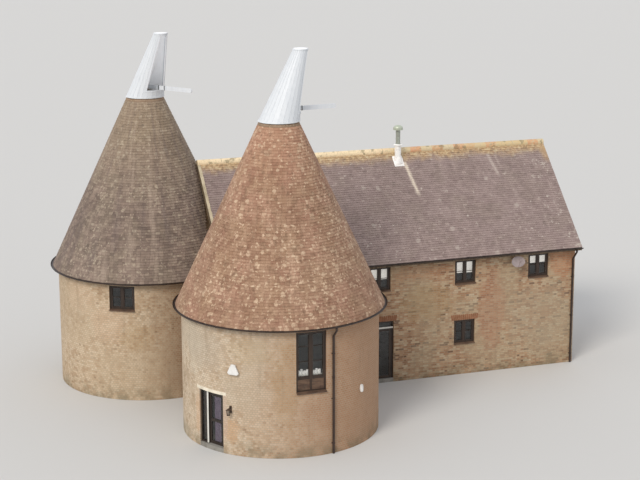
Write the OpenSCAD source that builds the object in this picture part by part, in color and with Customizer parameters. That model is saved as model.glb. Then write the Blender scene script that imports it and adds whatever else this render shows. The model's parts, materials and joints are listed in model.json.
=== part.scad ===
// Oast house: a barn with a pitched tiled roof, joined to two round hop kilns. Each kiln has a conical roof
// with a boarded cowl that turns on a spindle. Millimetres, Z up. The origin is on the ground at the middle
// of the barn, the ridge runs along X, and the kilns stand at the left end: the rear one against the gable,
// the front one against the long wall.

/* [Barn] */
// Length of the barn between the outer faces of its gable walls
barn_len = 14000; // [12500:100:16000]
// Width of the barn between the outer faces of its long walls
barn_width = 6700; // [6200:50:7200]
// Thickness of the brick walls of the barn
barn_wall = 300; // [220:10:340]
// Height of the barn roof's lower edge above the kilns' eaves
eave_step = 280; // [200:10:340]
// Height of the ridge above the lower edge of the roof
roof_rise = 3550; // [3200:50:3900]
// Thickness of the barn roof, square to its slope
barn_roof_t = 200; // [160:10:230]
// Reach of the roof past the long walls
eave_overhang = 270; // [220:10:320]
// Reach of the roof past the gable walls
verge_overhang = 150; // [80:10:200]
// Height of the square edge of the roof behind the gutter
eave_lip = 130; // [100:5:150]
// Outer radius of the half-round ridge tiles
ridge_tile_r = 130; // [110:5:150]
// Thickness of the ridge tiles
ridge_tile_t = 22; // [16:1:30]
// Length of one ridge tile
ridge_tile_len = 450; // [300:10:600]
// Joint between two ridge tiles
ridge_joint = 0.8; // [0.5:0.1:0.9]
// Thickness of the ground floor slabs
floor_t = 150; // [120:10:180]
// Height of the top of the upper floor
upper_floor_h = 2800; // [2700:50:2900]
// Thickness of the upper floor with its joists
upper_floor_t = 200; // [150:10:240]

/* [Kilns] */
// Outer radius of the round kiln walls
kiln_r = 3400; // [3200:50:3600]
// Thickness of the round kiln walls
kiln_wall = 340; // [230:10:400]
// Height of the kiln walls
kiln_h = 4400; // [4300:50:4800]
// Reach of a kiln roof past its wall
kiln_eave = 160; // [120:10:200]
// Height of a kiln roof from its lower edge to its open top
cone_h = 6260; // [5800:20:6700]
// Outer radius of a kiln roof at its open top
cone_top_r = 660; // [600:10:720]
// Thickness of a kiln roof, measured level
cone_t = 220; // [190:10:250]
// Height of the square edge of a kiln roof
cone_lip = 40; // [30:5:60]
// Height of the wall plate that carries a kiln roof
plate_h = 120; // [90:10:150]
// Width of that wall plate inside the roof's foot
plate_w = 230; // [150:10:240]
// Depth to which the rear kiln's wall stands inside the gable's outer face
kiln_a_bite = 1550; // [1400:10:1700]
// Distance of the rear kiln's axis behind the ridge
kiln_a_back = 900; // [800:10:1000]
// Depth to which the front kiln's wall stands inside the front wall's outer face
kiln_b_bite = 450; // [360:10:500]
// Distance of the front kiln's axis to the right of the left gable's outer face
kiln_b_in = 1100; // [1000:10:1250]

/* [Windows] */
// Width of the barn windows
win_w = 860; // [700:10:960]
// Height of the barn windows
win_h = 920; // [700:10:980]
// Distance from the barn roof's lower edge down to the heads of the upper windows
upper_head_drop = 170; // [150:10:250]
// Height of the sills of the ground floor barn windows
ground_sill_h = 1230; // [1000:10:1400]
// Distance of the first barn window from the middle of the wall
win_1_x = -1100; // [-1250:10:-1000]
// Distance of the second barn window from the middle of the wall
win_2_x = 2370; // [2200:10:2600]
// Distance of the third barn window from the middle of the wall
win_3_x = 5430; // [5200:10:5600]
// Width of the rear kiln's window
kiln_win_w = 950; // [800:10:1050]
// Height of the rear kiln's window
kiln_win_h = 900; // [700:10:950]
// Direction of the rear kiln's window from the kiln's axis, in degrees
kiln_win_a = -120; // [-125:1:-115]
// Width of the front kiln's tall window
tall_win_w = 1040; // [900:10:1150]
// Height of the tall window
tall_win_h = 2060; // [1700:10:2200]
// Height of the panel in the foot of the tall window
tall_panel_h = 460; // [350:10:600]
// Direction of the tall window from the kiln's axis, in degrees
tall_win_a = -90; // [-95:1:-85]
// Brickwork between a kiln window and the top of the wall
kiln_head_gap = 110; // [90:5:160]
// Width of the bars of the window and door frames
frame_bar = 60; // [50:5:70]
// Depth of the window and door frames
frame_depth = 90; // [75:5:110]
// Distance of the frames behind the outer face of the wall
reveal = 60; // [45:5:80]
// Thickness of the glass units
glass_t = 24; // [18:1:30]
// Height of the outer edge of a window sill
sill_h = 35; // [25:5:50]
// Reach of a window sill past the wall
sill_out = 45; // [30:5:60]

/* [Doors] */
// Width of the barn doorway
barn_door_w = 1300; // [1200:10:1450]
// Height of the head of the barn doorway
barn_door_h = 2390; // [2300:10:2450]
// Distance of the barn doorway from the middle of the wall
barn_door_x = -1180; // [-1250:10:-1100]
// Height of the transom between the barn doors and the fanlight
transom_h = 2130; // [2050:10:2160]
// Width of the front kiln's doorway
kiln_door_w = 1110; // [1050:10:1200]
// Height of the head of the front kiln's doorway
kiln_door_h = 2010; // [1980:10:2100]
// Direction of the front kiln's doorway from its axis, in degrees
kiln_door_a = -151; // [-154:1:-148]
// Width of the side light beside the kiln door
side_light_w = 300; // [260:10:340]
// Height of the lintel over the kiln doorway
lintel_h = 110; // [80:10:150]
// Thickness of the door leaves
leaf_t = 45; // [38:1:52]
// Width of the stiles and rails of the door leaves
stile = 95; // [80:5:110]
// Height of the kiln door's middle rail
mid_rail_h = 1000; // [900:10:1100]
// Gap between a door leaf and its frame
leaf_gap = 10; // [8:1:12]
// Gap under the door leaves
sole_gap = 16; // [10:1:20]
// Radius of the hinge pins
pin_r = 6; // [5:0.5:7]
// Outer radius of the hinge knuckles
knuckle_r = 12; // [10:1:14]
// Length of each hinge
hinge_h = 120; // [90:5:140]
// Thickness of the hinge plates
hinge_plate_t = 4; // [3:0.5:5]
// Reach of the hinge plates from the pin
hinge_plate_w = 34; // [30:1:42]
// Running gap between a hinge pin and the leaf's knuckle
pin_gap = 0.3; // [0.2:0.1:0.5]
// Height of the door handles above the floor
handle_up = 900; // [850:10:1000]
// Length of a lever handle
handle_len = 120; // [100:5:140]
// Reach of a lever handle from the face of the leaf
handle_out = 52; // [45:1:60]
// Radius of a lever handle
handle_r = 9; // [8:0.5:11]

/* [Cowls] */
// Reach of a cowl's foot past the roof's open top
cowl_reach = 30; // [20:5:50]
// Outer radius of a cowl at its top
cowl_top_r = 235; // [210:5:260]
// Height of a cowl
cowl_h = 2400; // [2200:20:2600]
// Lean of the cowl's top towards its mouth
cowl_lean = 830; // [740:10:900]
// Number of boards round a cowl
cowl_boards = 24; // [18:1:30]
// Thickness of the cowl's boards
board_t = 30; // [24:1:36]
// Height of the closed band below the mouth
cowl_band = 290; // [240:10:330]
// Height of the closed top above the mouth
cowl_cap = 90; // [70:5:130]
// Gap between the kiln roof and the foot of the cowl
cowl_gap = 30; // [20:1:40]
// Direction of the rear cowl's vane at rest, in degrees
cowl_a_dir = -54; // [-180:1:180]
// Direction of the front cowl's vane at rest, in degrees
cowl_b_dir = 8; // [-180:1:180]
// Distance of the vane's tip from the cowl's axis
vane_reach = 2200; // [2000:20:2400]
// Height of the vane board
vane_h = 150; // [120:5:180]
// Thickness of the vane board
vane_t = 40; // [30:1:50]
// Height of the curb ring on the open top of a kiln roof
curb_h = 110; // [90:5:130]
// Width of the curb ring
curb_w = 150; // [120:5:160]
// Clearance between the curb and the boards that turn round it
curb_gap = 12; // [8:1:16]
// Width of the beam that carries the spindle
beam_w = 100; // [80:5:130]
// Radius of the spindle that a cowl turns on
spindle_r = 35; // [28:1:42]
// Radius of the collar that carries the lower bearing
collar_r = 60; // [52:1:66]
// Outer radius of the bearing hubs
hub_r = 80; // [72:1:90]
// Height of the upper bearing above the cowl's foot
bearing_up = 900; // [800:20:1000]
// Height and width of the cross bars inside the cowl
bar_h = 70; // [60:5:80]
// Running gap between the spindle and its bearings
bearing_gap = 0.4; // [0.3:0.1:0.6]

/* [Fittings] */
// Outer radius of the half-round gutters
gutter_r = 65; // [55:1:70]
// Thickness of the gutters
gutter_t = 5; // [4:1:8]
// Outer radius of the downpipes
pipe_r = 40; // [34:1:45]
// Length of the pipe end that meets a gutter
outlet_h = 100; // [80:5:120]
// Distance of the barn's downpipes from the right gable's outer face
pipe_in = 100; // [80:10:150]
// Distance of the flue from the middle of the barn, along the ridge
flue_x = 770; // [600:10:900]
// Distance of the flue in front of the ridge
flue_y = 350; // [320:10:450]
// Radius of the flue's sleeve through the roof
flue_sleeve_r = 125; // [110:5:140]
// Radius of the flue pipe
flue_r = 85; // [70:5:100]
// Radius of the flue's cap
flue_cap_r = 170; // [150:5:190]
// Height of the flue's top above the ridge
flue_up = 1050; // [900:10:1200]
// Height of the sleeve's top above the ridge
flue_sleeve_up = 250; // [150:10:350]
// Half of the width of the satellite dish
dish_r = 280; // [250:10:300]
// Half of the height of the satellite dish
dish_rise = 210; // [190:5:220]
// Distance of the dish from the middle of the wall
dish_x = 4430; // [4350:10:4550]
// Height of the dish's arm below the roof's lower edge
dish_drop = 370; // [360:10:500]
// Distance of the dish from the wall
dish_out = 240; // [200:10:260]
// Thickness of the dish
dish_t = 12; // [8:1:16]
// Height of the white case's foot above the ground
box_foot = 2800; // [2700:10:2900]
// Width of the white case
box_w = 420; // [360:10:460]
// Width of the white case's top
box_top_w = 150; // [100:10:200]
// Height of the white case's lower corners above its foot
box_corner_h = 60; // [40:5:80]
// Height of the white case
box_h = 360; // [300:10:400]
// Depth of the white case
box_d = 110; // [80:5:130]
// Height of the lantern's bracket above the ground
lantern_h = 1560; // [1500:10:1650]
// Radius of the lantern
lantern_r = 75; // [60:5:85]
// Thickness of the lantern's bracket
lantern_bar = 15; // [12:1:20]
// Height of the small light's foot above the ground
lamp_foot = 1870; // [1800:10:1950]
// Radius of the small light
lamp_r = 60; // [50:5:70]
// Length of the small light
lamp_len = 240; // [200:10:280]
// Clearance between faces that rest against each other
seat = 0.3; // [0.2:0.1:0.6]

/* [Hidden] */
$fn = 64;
kiln_fn = 256;

left_x = -barn_len / 2;
right_x = barn_len / 2;
front_y = -barn_width / 2;
back_y = barn_width / 2;
inner_x = right_x - barn_wall;
inner_y = back_y - barn_wall;
barn_eave_h = kiln_h + eave_step;
ridge_h = barn_eave_h + roof_rise;
eave_y = back_y + eave_overhang;
verge_x = right_x + verge_overhang;
slope = roof_rise / eave_y;
roof_drop = barn_roof_t * sqrt(1 + slope * slope);
kiln_a = [left_x - kiln_r + kiln_a_bite, kiln_a_back];
kiln_b = [left_x + kiln_b_in, front_y - kiln_r + kiln_b_bite];
kiln_in_r = kiln_r - kiln_wall;
kiln_wall_h = kiln_h - seat;
cone_r = kiln_r + kiln_eave;
cone_top = kiln_h + cone_h;
cowl_foot = cone_top + cowl_gap;
cowl_r = cone_top_r + cowl_reach;
upper_sill_h = barn_eave_h - upper_head_drop - win_h;
upper_windows = [win_1_x, win_2_x, win_3_x];
back_ground_windows = [win_1_x, win_2_x];
kiln_head = kiln_h - kiln_head_gap;
kiln_sill_h = kiln_head - kiln_win_h;
tall_sill_h = kiln_head - tall_win_h;
// Flat frames in a round wall stand back from its outer face by this much
kiln_reveal = reveal + kiln_r - sqrt(kiln_r * kiln_r - tall_win_w * tall_win_w / 4);
// A length that reaches right through any wall
through = 2 * (kiln_wall + barn_wall);

// Height of the top of the barn roof at a distance y from the ridge
function roof_top(y) = ridge_h - abs(y) * slope;
// Height of the underside of the barn roof at a distance y from the ridge
function roof_under(y) = roof_top(y) - roof_drop;
// Height of the walls that carry the barn roof at a distance y from the ridge
function roof_seat(y) = roof_under(y) - seat;

module at_kiln(k) {
    translate([k[0], k[1], 0]) children();
}

// Places a piece on the wall of a kiln, with x pointing outwards from the outer face
module on_kiln_wall(k, direction) {
    at_kiln(k) rotate([0, 0, direction]) translate([kiln_r, 0, 0]) children();
}

// Everything that a kiln takes up, with the clearance that its neighbours keep
module kiln_space(k) {
    at_kiln(k) rotate_extrude($fn = kiln_fn) polygon([
        [0, -through], [kiln_r + seat, -through], [kiln_r + seat, kiln_h - seat],
        [cone_r + seat, kiln_h - seat], [cone_r + seat, kiln_h + cone_lip],
        [cone_top_r + seat, cone_top + seat], [0, cone_top + seat]
    ]);
}

// The profile of the barn between the wall faces at y0 and y1, drawn up to the seat of the roof
module under_roof(y0, y1) {
    peak = y0 < 0 && y1 > 0 ? [[0, roof_seat(0)]] : [];
    polygon(concat([[y0, 0], [y1, 0], [y1, roof_seat(y1)]], peak, [[y0, roof_seat(y0)]]));
}

// Extrudes a profile drawn in Y and Z along X, from x0 to x1
module along_x(x0, x1) {
    translate([x0, 0, 0]) rotate([90, 0, 90]) linear_extrude(x1 - x0) children();
}

module barn_slab(top, thickness) {
    difference() {
        translate([-inner_x, -inner_y, top - thickness]) cube([2 * inner_x, 2 * inner_y, thickness]);
        kiln_space(kiln_a);
        kiln_space(kiln_b);
    }
}

// The ground floor reaches out through the doorway as its threshold
module barn_floor() {
    color("darkgray") {
        barn_slab(floor_t, floor_t);
        translate([door_left + seat, front_y, 0]) cube([barn_door_w - 2 * seat, 2 * barn_wall, floor_t]);
    }
}

module barn_upper_floor() {
    color("tan") barn_slab(upper_floor_h, upper_floor_t);
}

// Cuts a barn window through a long wall at distance x, on the side of the given sign
module window_cut(x, side, sill) {
    translate([x - win_w / 2, side * back_y - through / 2, sill]) cube([win_w, through, win_h]);
}

module front_wall(x0, x1) {
    difference() {
        along_x(x0, x1) under_roof(front_y, -inner_y);
        for (x = upper_windows) window_cut(x, -1, upper_sill_h);
        window_cut(win_2_x, -1, ground_sill_h);
        kiln_space(kiln_b);
    }
}

// The front wall starts where the front kiln's wall has passed half way through its thickness
front_wall_start = kiln_b[0] + sqrt(kiln_r * kiln_r - pow(kiln_r - kiln_b_bite + barn_wall / 2, 2));
door_left = barn_door_x - barn_door_w / 2;
door_right = barn_door_x + barn_door_w / 2;

module barn_front_wall_left() {
    color("peru") front_wall(front_wall_start, door_left);
}

module barn_front_wall_over_door() {
    color("peru") intersection() {
        front_wall(door_left, door_right);
        translate([door_left, front_y, barn_door_h]) cube([barn_door_w, barn_wall, ridge_h]);
    }
}

module barn_front_wall_right() {
    color("peru") front_wall(door_right, inner_x);
}

module barn_back_wall() {
    color("peru") difference() {
        along_x(kiln_a[0], inner_x) under_roof(inner_y, back_y);
        for (x = upper_windows) window_cut(x, 1, upper_sill_h);
        for (x = back_ground_windows) window_cut(x, 1, ground_sill_h);
        kiln_space(kiln_a);
    }
}

module barn_right_gable() {
    color("peru") difference() {
        along_x(inner_x, right_x) under_roof(front_y, back_y);
        for (sill = [upper_sill_h, ground_sill_h])
            translate([right_x - through / 2, -win_w / 2, sill]) cube([through, win_w, win_h]);
    }
}

// The rear kiln takes the place of the left gable behind its axis
module barn_left_gable() {
    color("peru") difference() {
        along_x(left_x, -inner_x) under_roof(front_y, kiln_a_back);
        kiln_space(kiln_a);
        kiln_space(kiln_b);
    }
}

// One slope of the roof, on the side of the given sign
module roof_slope(side) {
    soffit_h = barn_eave_h - eave_lip;
    soffit_y = (ridge_h - roof_drop - soffit_h) / slope;
    along_x(-verge_x, verge_x) polygon([
        [0, ridge_h], [side * eave_y, barn_eave_h], [side * eave_y, soffit_h],
        [side * soffit_y, soffit_h], [0, roof_under(0)]
    ]);
}

module barn_front_roof() {
    color("rosybrown") difference() {
        roof_slope(-1);
        kiln_space(kiln_a);
        kiln_space(kiln_b);
        translate([flue_x, -flue_y, 0]) cylinder(h = ridge_h, r = flue_sleeve_r + seat);
    }
}

module barn_back_roof() {
    color("rosybrown") difference() {
        roof_slope(1);
        kiln_space(kiln_a);
    }
}

ridge_count = floor(2 * verge_x / ridge_tile_len);
ridge_pitch = 2 * verge_x / ridge_count;
ridge_bed = ridge_tile_r / 5;

// Half-round tiles bedded over the meeting of the slopes
module ridge_tiles() {
    color("chocolate") difference() {
        for (i = [0:ridge_count - 1])
            along_x(-verge_x + i * ridge_pitch, -verge_x + (i + 1) * ridge_pitch - ridge_joint) difference() {
                translate([0, ridge_h - ridge_bed]) circle(ridge_tile_r);
                translate([0, ridge_h - ridge_bed]) circle(ridge_tile_r - ridge_tile_t);
                polygon([
                    [-eave_y, 0], [eave_y, 0], [eave_y, barn_eave_h + seat], [0, ridge_h + seat],
                    [-eave_y, barn_eave_h + seat]
                ]);
            }
        kiln_space(kiln_a);
    }
}

module gutter_profile() {
    difference() {
        circle(gutter_r);
        circle(gutter_r - gutter_t);
        translate([-2 * gutter_r, 0]) square(4 * gutter_r);
    }
}

kiln_gutter_r = cone_r + seat + gutter_r;
kiln_gutter_h = kiln_h + cone_lip;

module kiln_gutter(k) {
    difference() {
        at_kiln(k) rotate_extrude($fn = kiln_fn) translate([kiln_gutter_r, kiln_gutter_h]) gutter_profile();
        translate([left_x, front_y, 0]) cube([barn_len, barn_width, ridge_h]);
    }
}

// The gutter of one slope, which stops short of the kiln's own gutter
module barn_gutter(side, k) {
    difference() {
        along_x(-verge_x, verge_x) translate([side * (eave_y + gutter_r), barn_eave_h]) gutter_profile();
        at_kiln(k) cylinder(h = ridge_h, r = kiln_gutter_r + gutter_r + seat, $fn = kiln_fn);
    }
}

module gutters() {
    color([0.24, 0.18, 0.14]) {
        kiln_gutter(kiln_a);
        kiln_gutter(kiln_b);
        barn_gutter(-1, kiln_b);
        barn_gutter(1, kiln_a);
    }
}

// A downpipe on a wall whose face is at x = 0, with a swan neck out to a gutter whose lowest line is at
// x = reach and z = top
module downpipe(reach, top) {
    pipe_x = pipe_r + seat;
    bend_h = top - outlet_h - reach;
    translate([pipe_x, 0, 0]) cylinder(h = bend_h, r = pipe_r);
    translate([reach, 0, top - outlet_h]) cylinder(h = outlet_h, r = pipe_r);
    hull() {
        translate([pipe_x, 0, bend_h - 1]) cylinder(h = 1, r = pipe_r, $fn = 32);
        translate([reach, 0, top - outlet_h]) cylinder(h = 1, r = pipe_r, $fn = 32);
    }
}

kiln_a_pipe_dir = 150;
kiln_b_pipe_dir = -77;

module downpipes() {
    color([0.24, 0.18, 0.14]) {
        for (place = [[kiln_a, kiln_a_pipe_dir], [kiln_b, kiln_b_pipe_dir]])
            on_kiln_wall(place[0], place[1]) downpipe(kiln_gutter_r - kiln_r, kiln_gutter_h - gutter_r);
        for (side = [0, 1]) mirror([0, side, 0]) translate([right_x - pipe_in, front_y, 0])
            rotate([0, 0, -90]) downpipe(eave_overhang + gutter_r, barn_eave_h - gutter_r);
    }
}

// A frame with its outer face at x = 0 for an opening w wide, from z0 to z1, with posts at the given
// distances from its middle and rails at the given heights. An open foot leaves out its lowest bar.
module frame(w, z0, z1, posts = [], rails = [], open_foot = false) {
    foot = open_foot ? -1 : frame_bar;
    translate([-frame_depth, 0, 0]) difference() {
        translate([0, -w / 2 + seat, z0 + seat]) cube([frame_depth, w - 2 * seat, z1 - z0 - 2 * seat]);
        difference() {
            translate([-1, -w / 2 + frame_bar, z0 + foot])
                cube([frame_depth + 2, w - 2 * frame_bar, z1 - z0 - frame_bar - foot]);
            for (y = posts) translate([-2, y - frame_bar / 2, z0])
                cube([frame_depth + 4, frame_bar, z1 - z0]);
            for (z = rails) translate([-2, -w / 2, z - frame_bar / 2]) cube([frame_depth + 4, w, frame_bar]);
        }
    }
}

// The glass that fills one light of a frame
module pane(y0, y1, z0, z1) {
    translate([-(frame_depth + glass_t) / 2, y0, z0]) cube([glass_t, y1 - y0, z1 - z0]);
}

// The glass of a frame with a middle post
module pane_pair(w, z0, z1) {
    pane(-w / 2 + frame_bar, -frame_bar / 2, z0, z1);
    pane(frame_bar / 2, w / 2 - frame_bar, z0, z1);
}

// Puts a piece made for the plane x = 0 into the reveal of a barn wall, at a distance from its middle
module in_front_wall(x) {
    translate([x, front_y + reveal, 0]) rotate([0, 0, -90]) children();
}

module in_back_wall(x) {
    translate([x, back_y - reveal, 0]) rotate([0, 0, 90]) children();
}

module in_right_gable() {
    translate([right_x - reveal, 0, 0]) children();
}

module in_barn_windows() {
    for (x = upper_windows) {
        in_front_wall(x) translate([0, 0, upper_sill_h]) children();
        in_back_wall(x) translate([0, 0, upper_sill_h]) children();
    }
    in_front_wall(win_2_x) translate([0, 0, ground_sill_h]) children();
    for (x = back_ground_windows) in_back_wall(x) translate([0, 0, ground_sill_h]) children();
    for (sill = [upper_sill_h, ground_sill_h]) in_right_gable() translate([0, 0, sill]) children();
}

module in_kiln_window(k, direction) {
    on_kiln_wall(k, direction) translate([-kiln_reveal, 0, 0]) children();
}

module window_frames() {
    color("saddlebrown") {
        in_barn_windows() frame(win_w, 0, win_h, posts = [0]);
        in_kiln_window(kiln_a, kiln_win_a) frame(kiln_win_w, kiln_sill_h, kiln_head, posts = [0]);
        in_kiln_window(kiln_b, tall_win_a)
            frame(tall_win_w, tall_sill_h, kiln_head, posts = [0], rails = [tall_sill_h + tall_panel_h]);
    }
}

side_light_end = -kiln_door_w / 2 + side_light_w;

module window_glass() {
    color("slategray") {
        in_barn_windows() pane_pair(win_w, frame_bar, win_h - frame_bar);
        in_kiln_window(kiln_a, kiln_win_a)
            pane_pair(kiln_win_w, kiln_sill_h + frame_bar, kiln_head - frame_bar);
        in_kiln_window(kiln_b, tall_win_a) {
            pane_pair(tall_win_w, tall_sill_h + tall_panel_h + frame_bar / 2, kiln_head - frame_bar);
            pane_pair(tall_win_w, tall_sill_h + frame_bar, tall_sill_h + tall_panel_h - frame_bar / 2);
        }
        in_front_wall(barn_door_x) pane(-barn_door_w / 2 + frame_bar, barn_door_w / 2 - frame_bar,
            transom_h + frame_bar / 2, barn_door_h - frame_bar);
        in_kiln_window(kiln_b, kiln_door_a) pane(-kiln_door_w / 2 + frame_bar, side_light_end,
            floor_t + frame_bar, kiln_door_h - frame_bar);
    }
}

// A sill that slopes from the frame's outer face, at x = 0, out past the wall's face at x = depth
module sill(w, depth) {
    translate([seat, 0, seat]) rotate([90, 0, 0]) linear_extrude(w - 2 * seat, center = true) polygon([
        [0, 0], [depth, 0], [depth, -sill_h], [depth + sill_out, -sill_h], [depth + sill_out, 0],
        [0, sill_h / 2]
    ]);
}

module window_sills() {
    color("sienna") {
        in_barn_windows() sill(win_w, reveal);
        in_kiln_window(kiln_a, kiln_win_a) translate([0, 0, kiln_sill_h]) sill(kiln_win_w, kiln_reveal);
        in_kiln_window(kiln_b, tall_win_a) translate([0, 0, tall_sill_h]) sill(tall_win_w, kiln_reveal);
    }
}

// The part of a kiln's round wall between two directions and two heights, with a joint at one end
module arc_wall(from, to, bottom, top) {
    joint = asin(seat / kiln_in_r);
    translate([0, 0, bottom]) rotate([0, 0, from]) rotate_extrude(angle = to - from - joint, $fn = kiln_fn)
        translate([kiln_in_r, 0]) square([kiln_wall, top - bottom]);
}

// Cuts an opening through a kiln wall, w wide, from z0 to z1
module kiln_cut(direction, w, z0, z1) {
    rotate([0, 0, direction]) translate([kiln_in_r - through / 2, -w / 2, z0])
        cube([kiln_wall + through, w, z1 - z0]);
}

module kiln_b_doorway(w = kiln_door_w) {
    kiln_cut(kiln_door_a, w, -through, kiln_h + through);
}

door_arc = 20;

// The part of the front kiln's wall ring that stands in the doorway, between two heights
module doorway_block(bottom, top) {
    at_kiln(kiln_b) intersection() {
        arc_wall(kiln_door_a - door_arc, kiln_door_a + door_arc, bottom, top);
        kiln_b_doorway(kiln_door_w - 2 * seat);
    }
}

// The directions where the segments of the kiln walls meet
kiln_a_joints = [-165, -75, 15, 105];
kiln_b_joints = [-45, 75];

module kiln_a_wall_front() {
    color("darkkhaki") at_kiln(kiln_a) difference() {
        arc_wall(kiln_a_joints[0], kiln_a_joints[1], 0, kiln_wall_h);
        kiln_cut(kiln_win_a, kiln_win_w, kiln_sill_h, kiln_head);
    }
}

module kiln_a_wall_right() {
    color("darkkhaki") at_kiln(kiln_a) arc_wall(kiln_a_joints[1], kiln_a_joints[2], 0, kiln_wall_h);
}

module kiln_a_wall_back() {
    color("darkkhaki") at_kiln(kiln_a) arc_wall(kiln_a_joints[2], kiln_a_joints[3], 0, kiln_wall_h);
}

module kiln_a_wall_left() {
    color("darkkhaki") at_kiln(kiln_a) arc_wall(kiln_a_joints[3], kiln_a_joints[0] + 360, 0, kiln_wall_h);
}

module kiln_b_wall_front() {
    color("tan") at_kiln(kiln_b) difference() {
        arc_wall(kiln_door_a, kiln_b_joints[0], 0, kiln_wall_h);
        kiln_b_doorway();
        kiln_cut(tall_win_a, tall_win_w, tall_sill_h, kiln_head);
    }
}

module kiln_b_wall_right() {
    color("tan") at_kiln(kiln_b) arc_wall(kiln_b_joints[0], kiln_b_joints[1], 0, kiln_wall_h);
}

module kiln_b_wall_back() {
    color("tan") at_kiln(kiln_b) difference() {
        arc_wall(kiln_b_joints[1], kiln_door_a + 360, 0, kiln_wall_h);
        kiln_b_doorway();
    }
}

module kiln_b_wall_over_door() {
    color("tan") doorway_block(kiln_door_h + lintel_h + seat, kiln_wall_h);
}

module kiln_b_lintel() {
    color("lightgray") doorway_block(kiln_door_h, kiln_door_h + lintel_h);
}

module kiln_disc(top, thickness) {
    translate([0, 0, top - thickness]) cylinder(h = thickness, r = kiln_in_r - seat, $fn = kiln_fn);
}

module kiln_floors() {
    color("darkgray") {
        at_kiln(kiln_a) kiln_disc(floor_t, floor_t);
        at_kiln(kiln_b) kiln_disc(floor_t, floor_t);
        at_kiln(kiln_a) kiln_disc(upper_floor_h, upper_floor_t);
        doorway_block(0, floor_t);
    }
}

// A conical roof with an open top, on a wall plate that lies on the kiln's wall
module kiln_roof() {
    rotate_extrude($fn = kiln_fn) polygon([
        [cone_r - cone_t - plate_w, kiln_h], [cone_r, kiln_h], [cone_r, kiln_h + cone_lip],
        [cone_top_r, cone_top], [cone_top_r - cone_t, cone_top],
        [cone_r - cone_t, kiln_h + plate_h], [cone_r - cone_t - plate_w, kiln_h + plate_h]
    ]);
}

module kiln_a_roof() {
    color("dimgray") at_kiln(kiln_a) kiln_roof();
}

module kiln_b_roof() {
    color("rosybrown") at_kiln(kiln_b) kiln_roof();
}

// The leaning boards come closest to the curb at its top, where they still clear it
curb_part = (curb_h - cowl_gap) / cowl_h;
curb_shell_in = (cowl_r + (cowl_top_r - cowl_r) * curb_part - board_t) * cos(180 / cowl_boards);
curb_out = curb_shell_in - cowl_lean * curb_part - curb_gap;
curb_in = curb_out - curb_w;

module cowl_curbs() {
    color("gray") for (k = [kiln_a, kiln_b]) at_kiln(k) translate([0, 0, cone_top]) difference() {
        cylinder(h = curb_h, r = curb_out);
        translate([0, 0, -1]) cylinder(h = curb_h + 2, r = curb_in);
    }
}

collar_top = cowl_foot + cowl_band - bar_h - bearing_gap;
spindle_foot = cone_top + curb_h / 2;
spindle_top = cowl_foot + bearing_up + bar_h;

// A beam between the sides of the curb, with the spindle and the collar that the cowl bears on
module cowl_spindles() {
    color("gray") for (k = [kiln_a, kiln_b]) at_kiln(k) {
        translate([0, 0, cone_top]) intersection() {
            cylinder(h = curb_h, r = curb_in - seat);
            translate([-curb_in, -beam_w / 2, 0]) cube([2 * curb_in, beam_w, curb_h]);
        }
        translate([0, 0, spindle_foot]) cylinder(h = collar_top - spindle_foot, r = collar_r);
        translate([0, 0, spindle_foot]) cylinder(h = spindle_top - spindle_foot, r = spindle_r);
    }
}

// The edges between the boards of a leaning cone at height z
function cowl_ring(z, inset) =
    let(part = z / cowl_h, r = cowl_r + (cowl_top_r - cowl_r) * part - inset)
    [for (i = [0:cowl_boards - 1])
        let(a = i * 360 / cowl_boards)
        [cowl_lean * part + r * cos(a), r * sin(a), z]];

// A leaning cone of flat tapered boards between two heights
module cowl_loft(z0, z1, inset) {
    low = cowl_ring(z0, inset);
    high = cowl_ring(z1, inset);
    n = cowl_boards;
    polyhedron(
        points = concat(low, high),
        faces = concat(
            [[for (i = [0:n - 1]) i]],
            [for (i = [0:n - 1]) [i, i + n, (i + 1) % n + n, (i + 1) % n]],
            [[for (i = [n - 1:-1:0]) i + n]]
        )
    );
}

// Distance of the mouth's plane from the cowl's axis at its lower and upper edges
mouth_low = 0.72 * cowl_r;
mouth_high = cowl_lean + 0.6 * cowl_top_r;

module cowl_mouth() {
    rotate([90, 0, 0]) linear_extrude(2 * cowl_r, center = true) polygon([
        [mouth_low, cowl_band], [cowl_lean + 2 * cowl_r, cowl_band],
        [cowl_lean + 2 * cowl_r, cowl_h - cowl_cap], [mouth_high, cowl_h - cowl_cap]
    ]);
}

// A leaning cone of boards, open at the foot and at its mouth
module cowl_shell() {
    difference() {
        cowl_loft(0, cowl_h, 0);
        cowl_loft(-board_t, cowl_h - board_t, board_t);
        cowl_mouth();
    }
}

// A cross bar with a hub on the cowl's axis, with its foot at height z above the cowl's foot
module cowl_bar(z) {
    translate([-bar_h / 2, -cowl_r, z]) cube([bar_h, 2 * cowl_r, bar_h]);
    translate([0, 0, z]) cylinder(h = bar_h, r = hub_r);
}

// The two cross bars, which end at the boards and are bored for the spindle
module cowl_bars() {
    difference() {
        intersection() {
            union() {
                cowl_bar(cowl_band - bar_h);
                cowl_bar(bearing_up);
            }
            cowl_loft(0, cowl_h, board_t + seat);
        }
        cylinder(h = cowl_h, r = spindle_r + bearing_gap);
    }
}

vane_side = spindle_r + 25;
vane_back = -250;

// The vane lies beside the spindle, on the lower cross bar and on the edge of the band, with a round end
module cowl_vane() {
    translate([0, vane_side, cowl_band]) {
        translate([vane_back, 0, 0]) cube([vane_reach - vane_h / 2 - vane_back, vane_t, vane_h]);
        translate([vane_reach - vane_h / 2, vane_t, vane_h / 2]) rotate([90, 0, 0])
            cylinder(h = vane_t, r = vane_h / 2);
    }
}

module at_cowl(k, direction) {
    at_kiln(k) translate([0, 0, cowl_foot]) rotate([0, 0, direction]) children();
}

module cowl_a_shell() {
    color("white") at_cowl(kiln_a, cowl_a_dir) cowl_shell();
}

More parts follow.
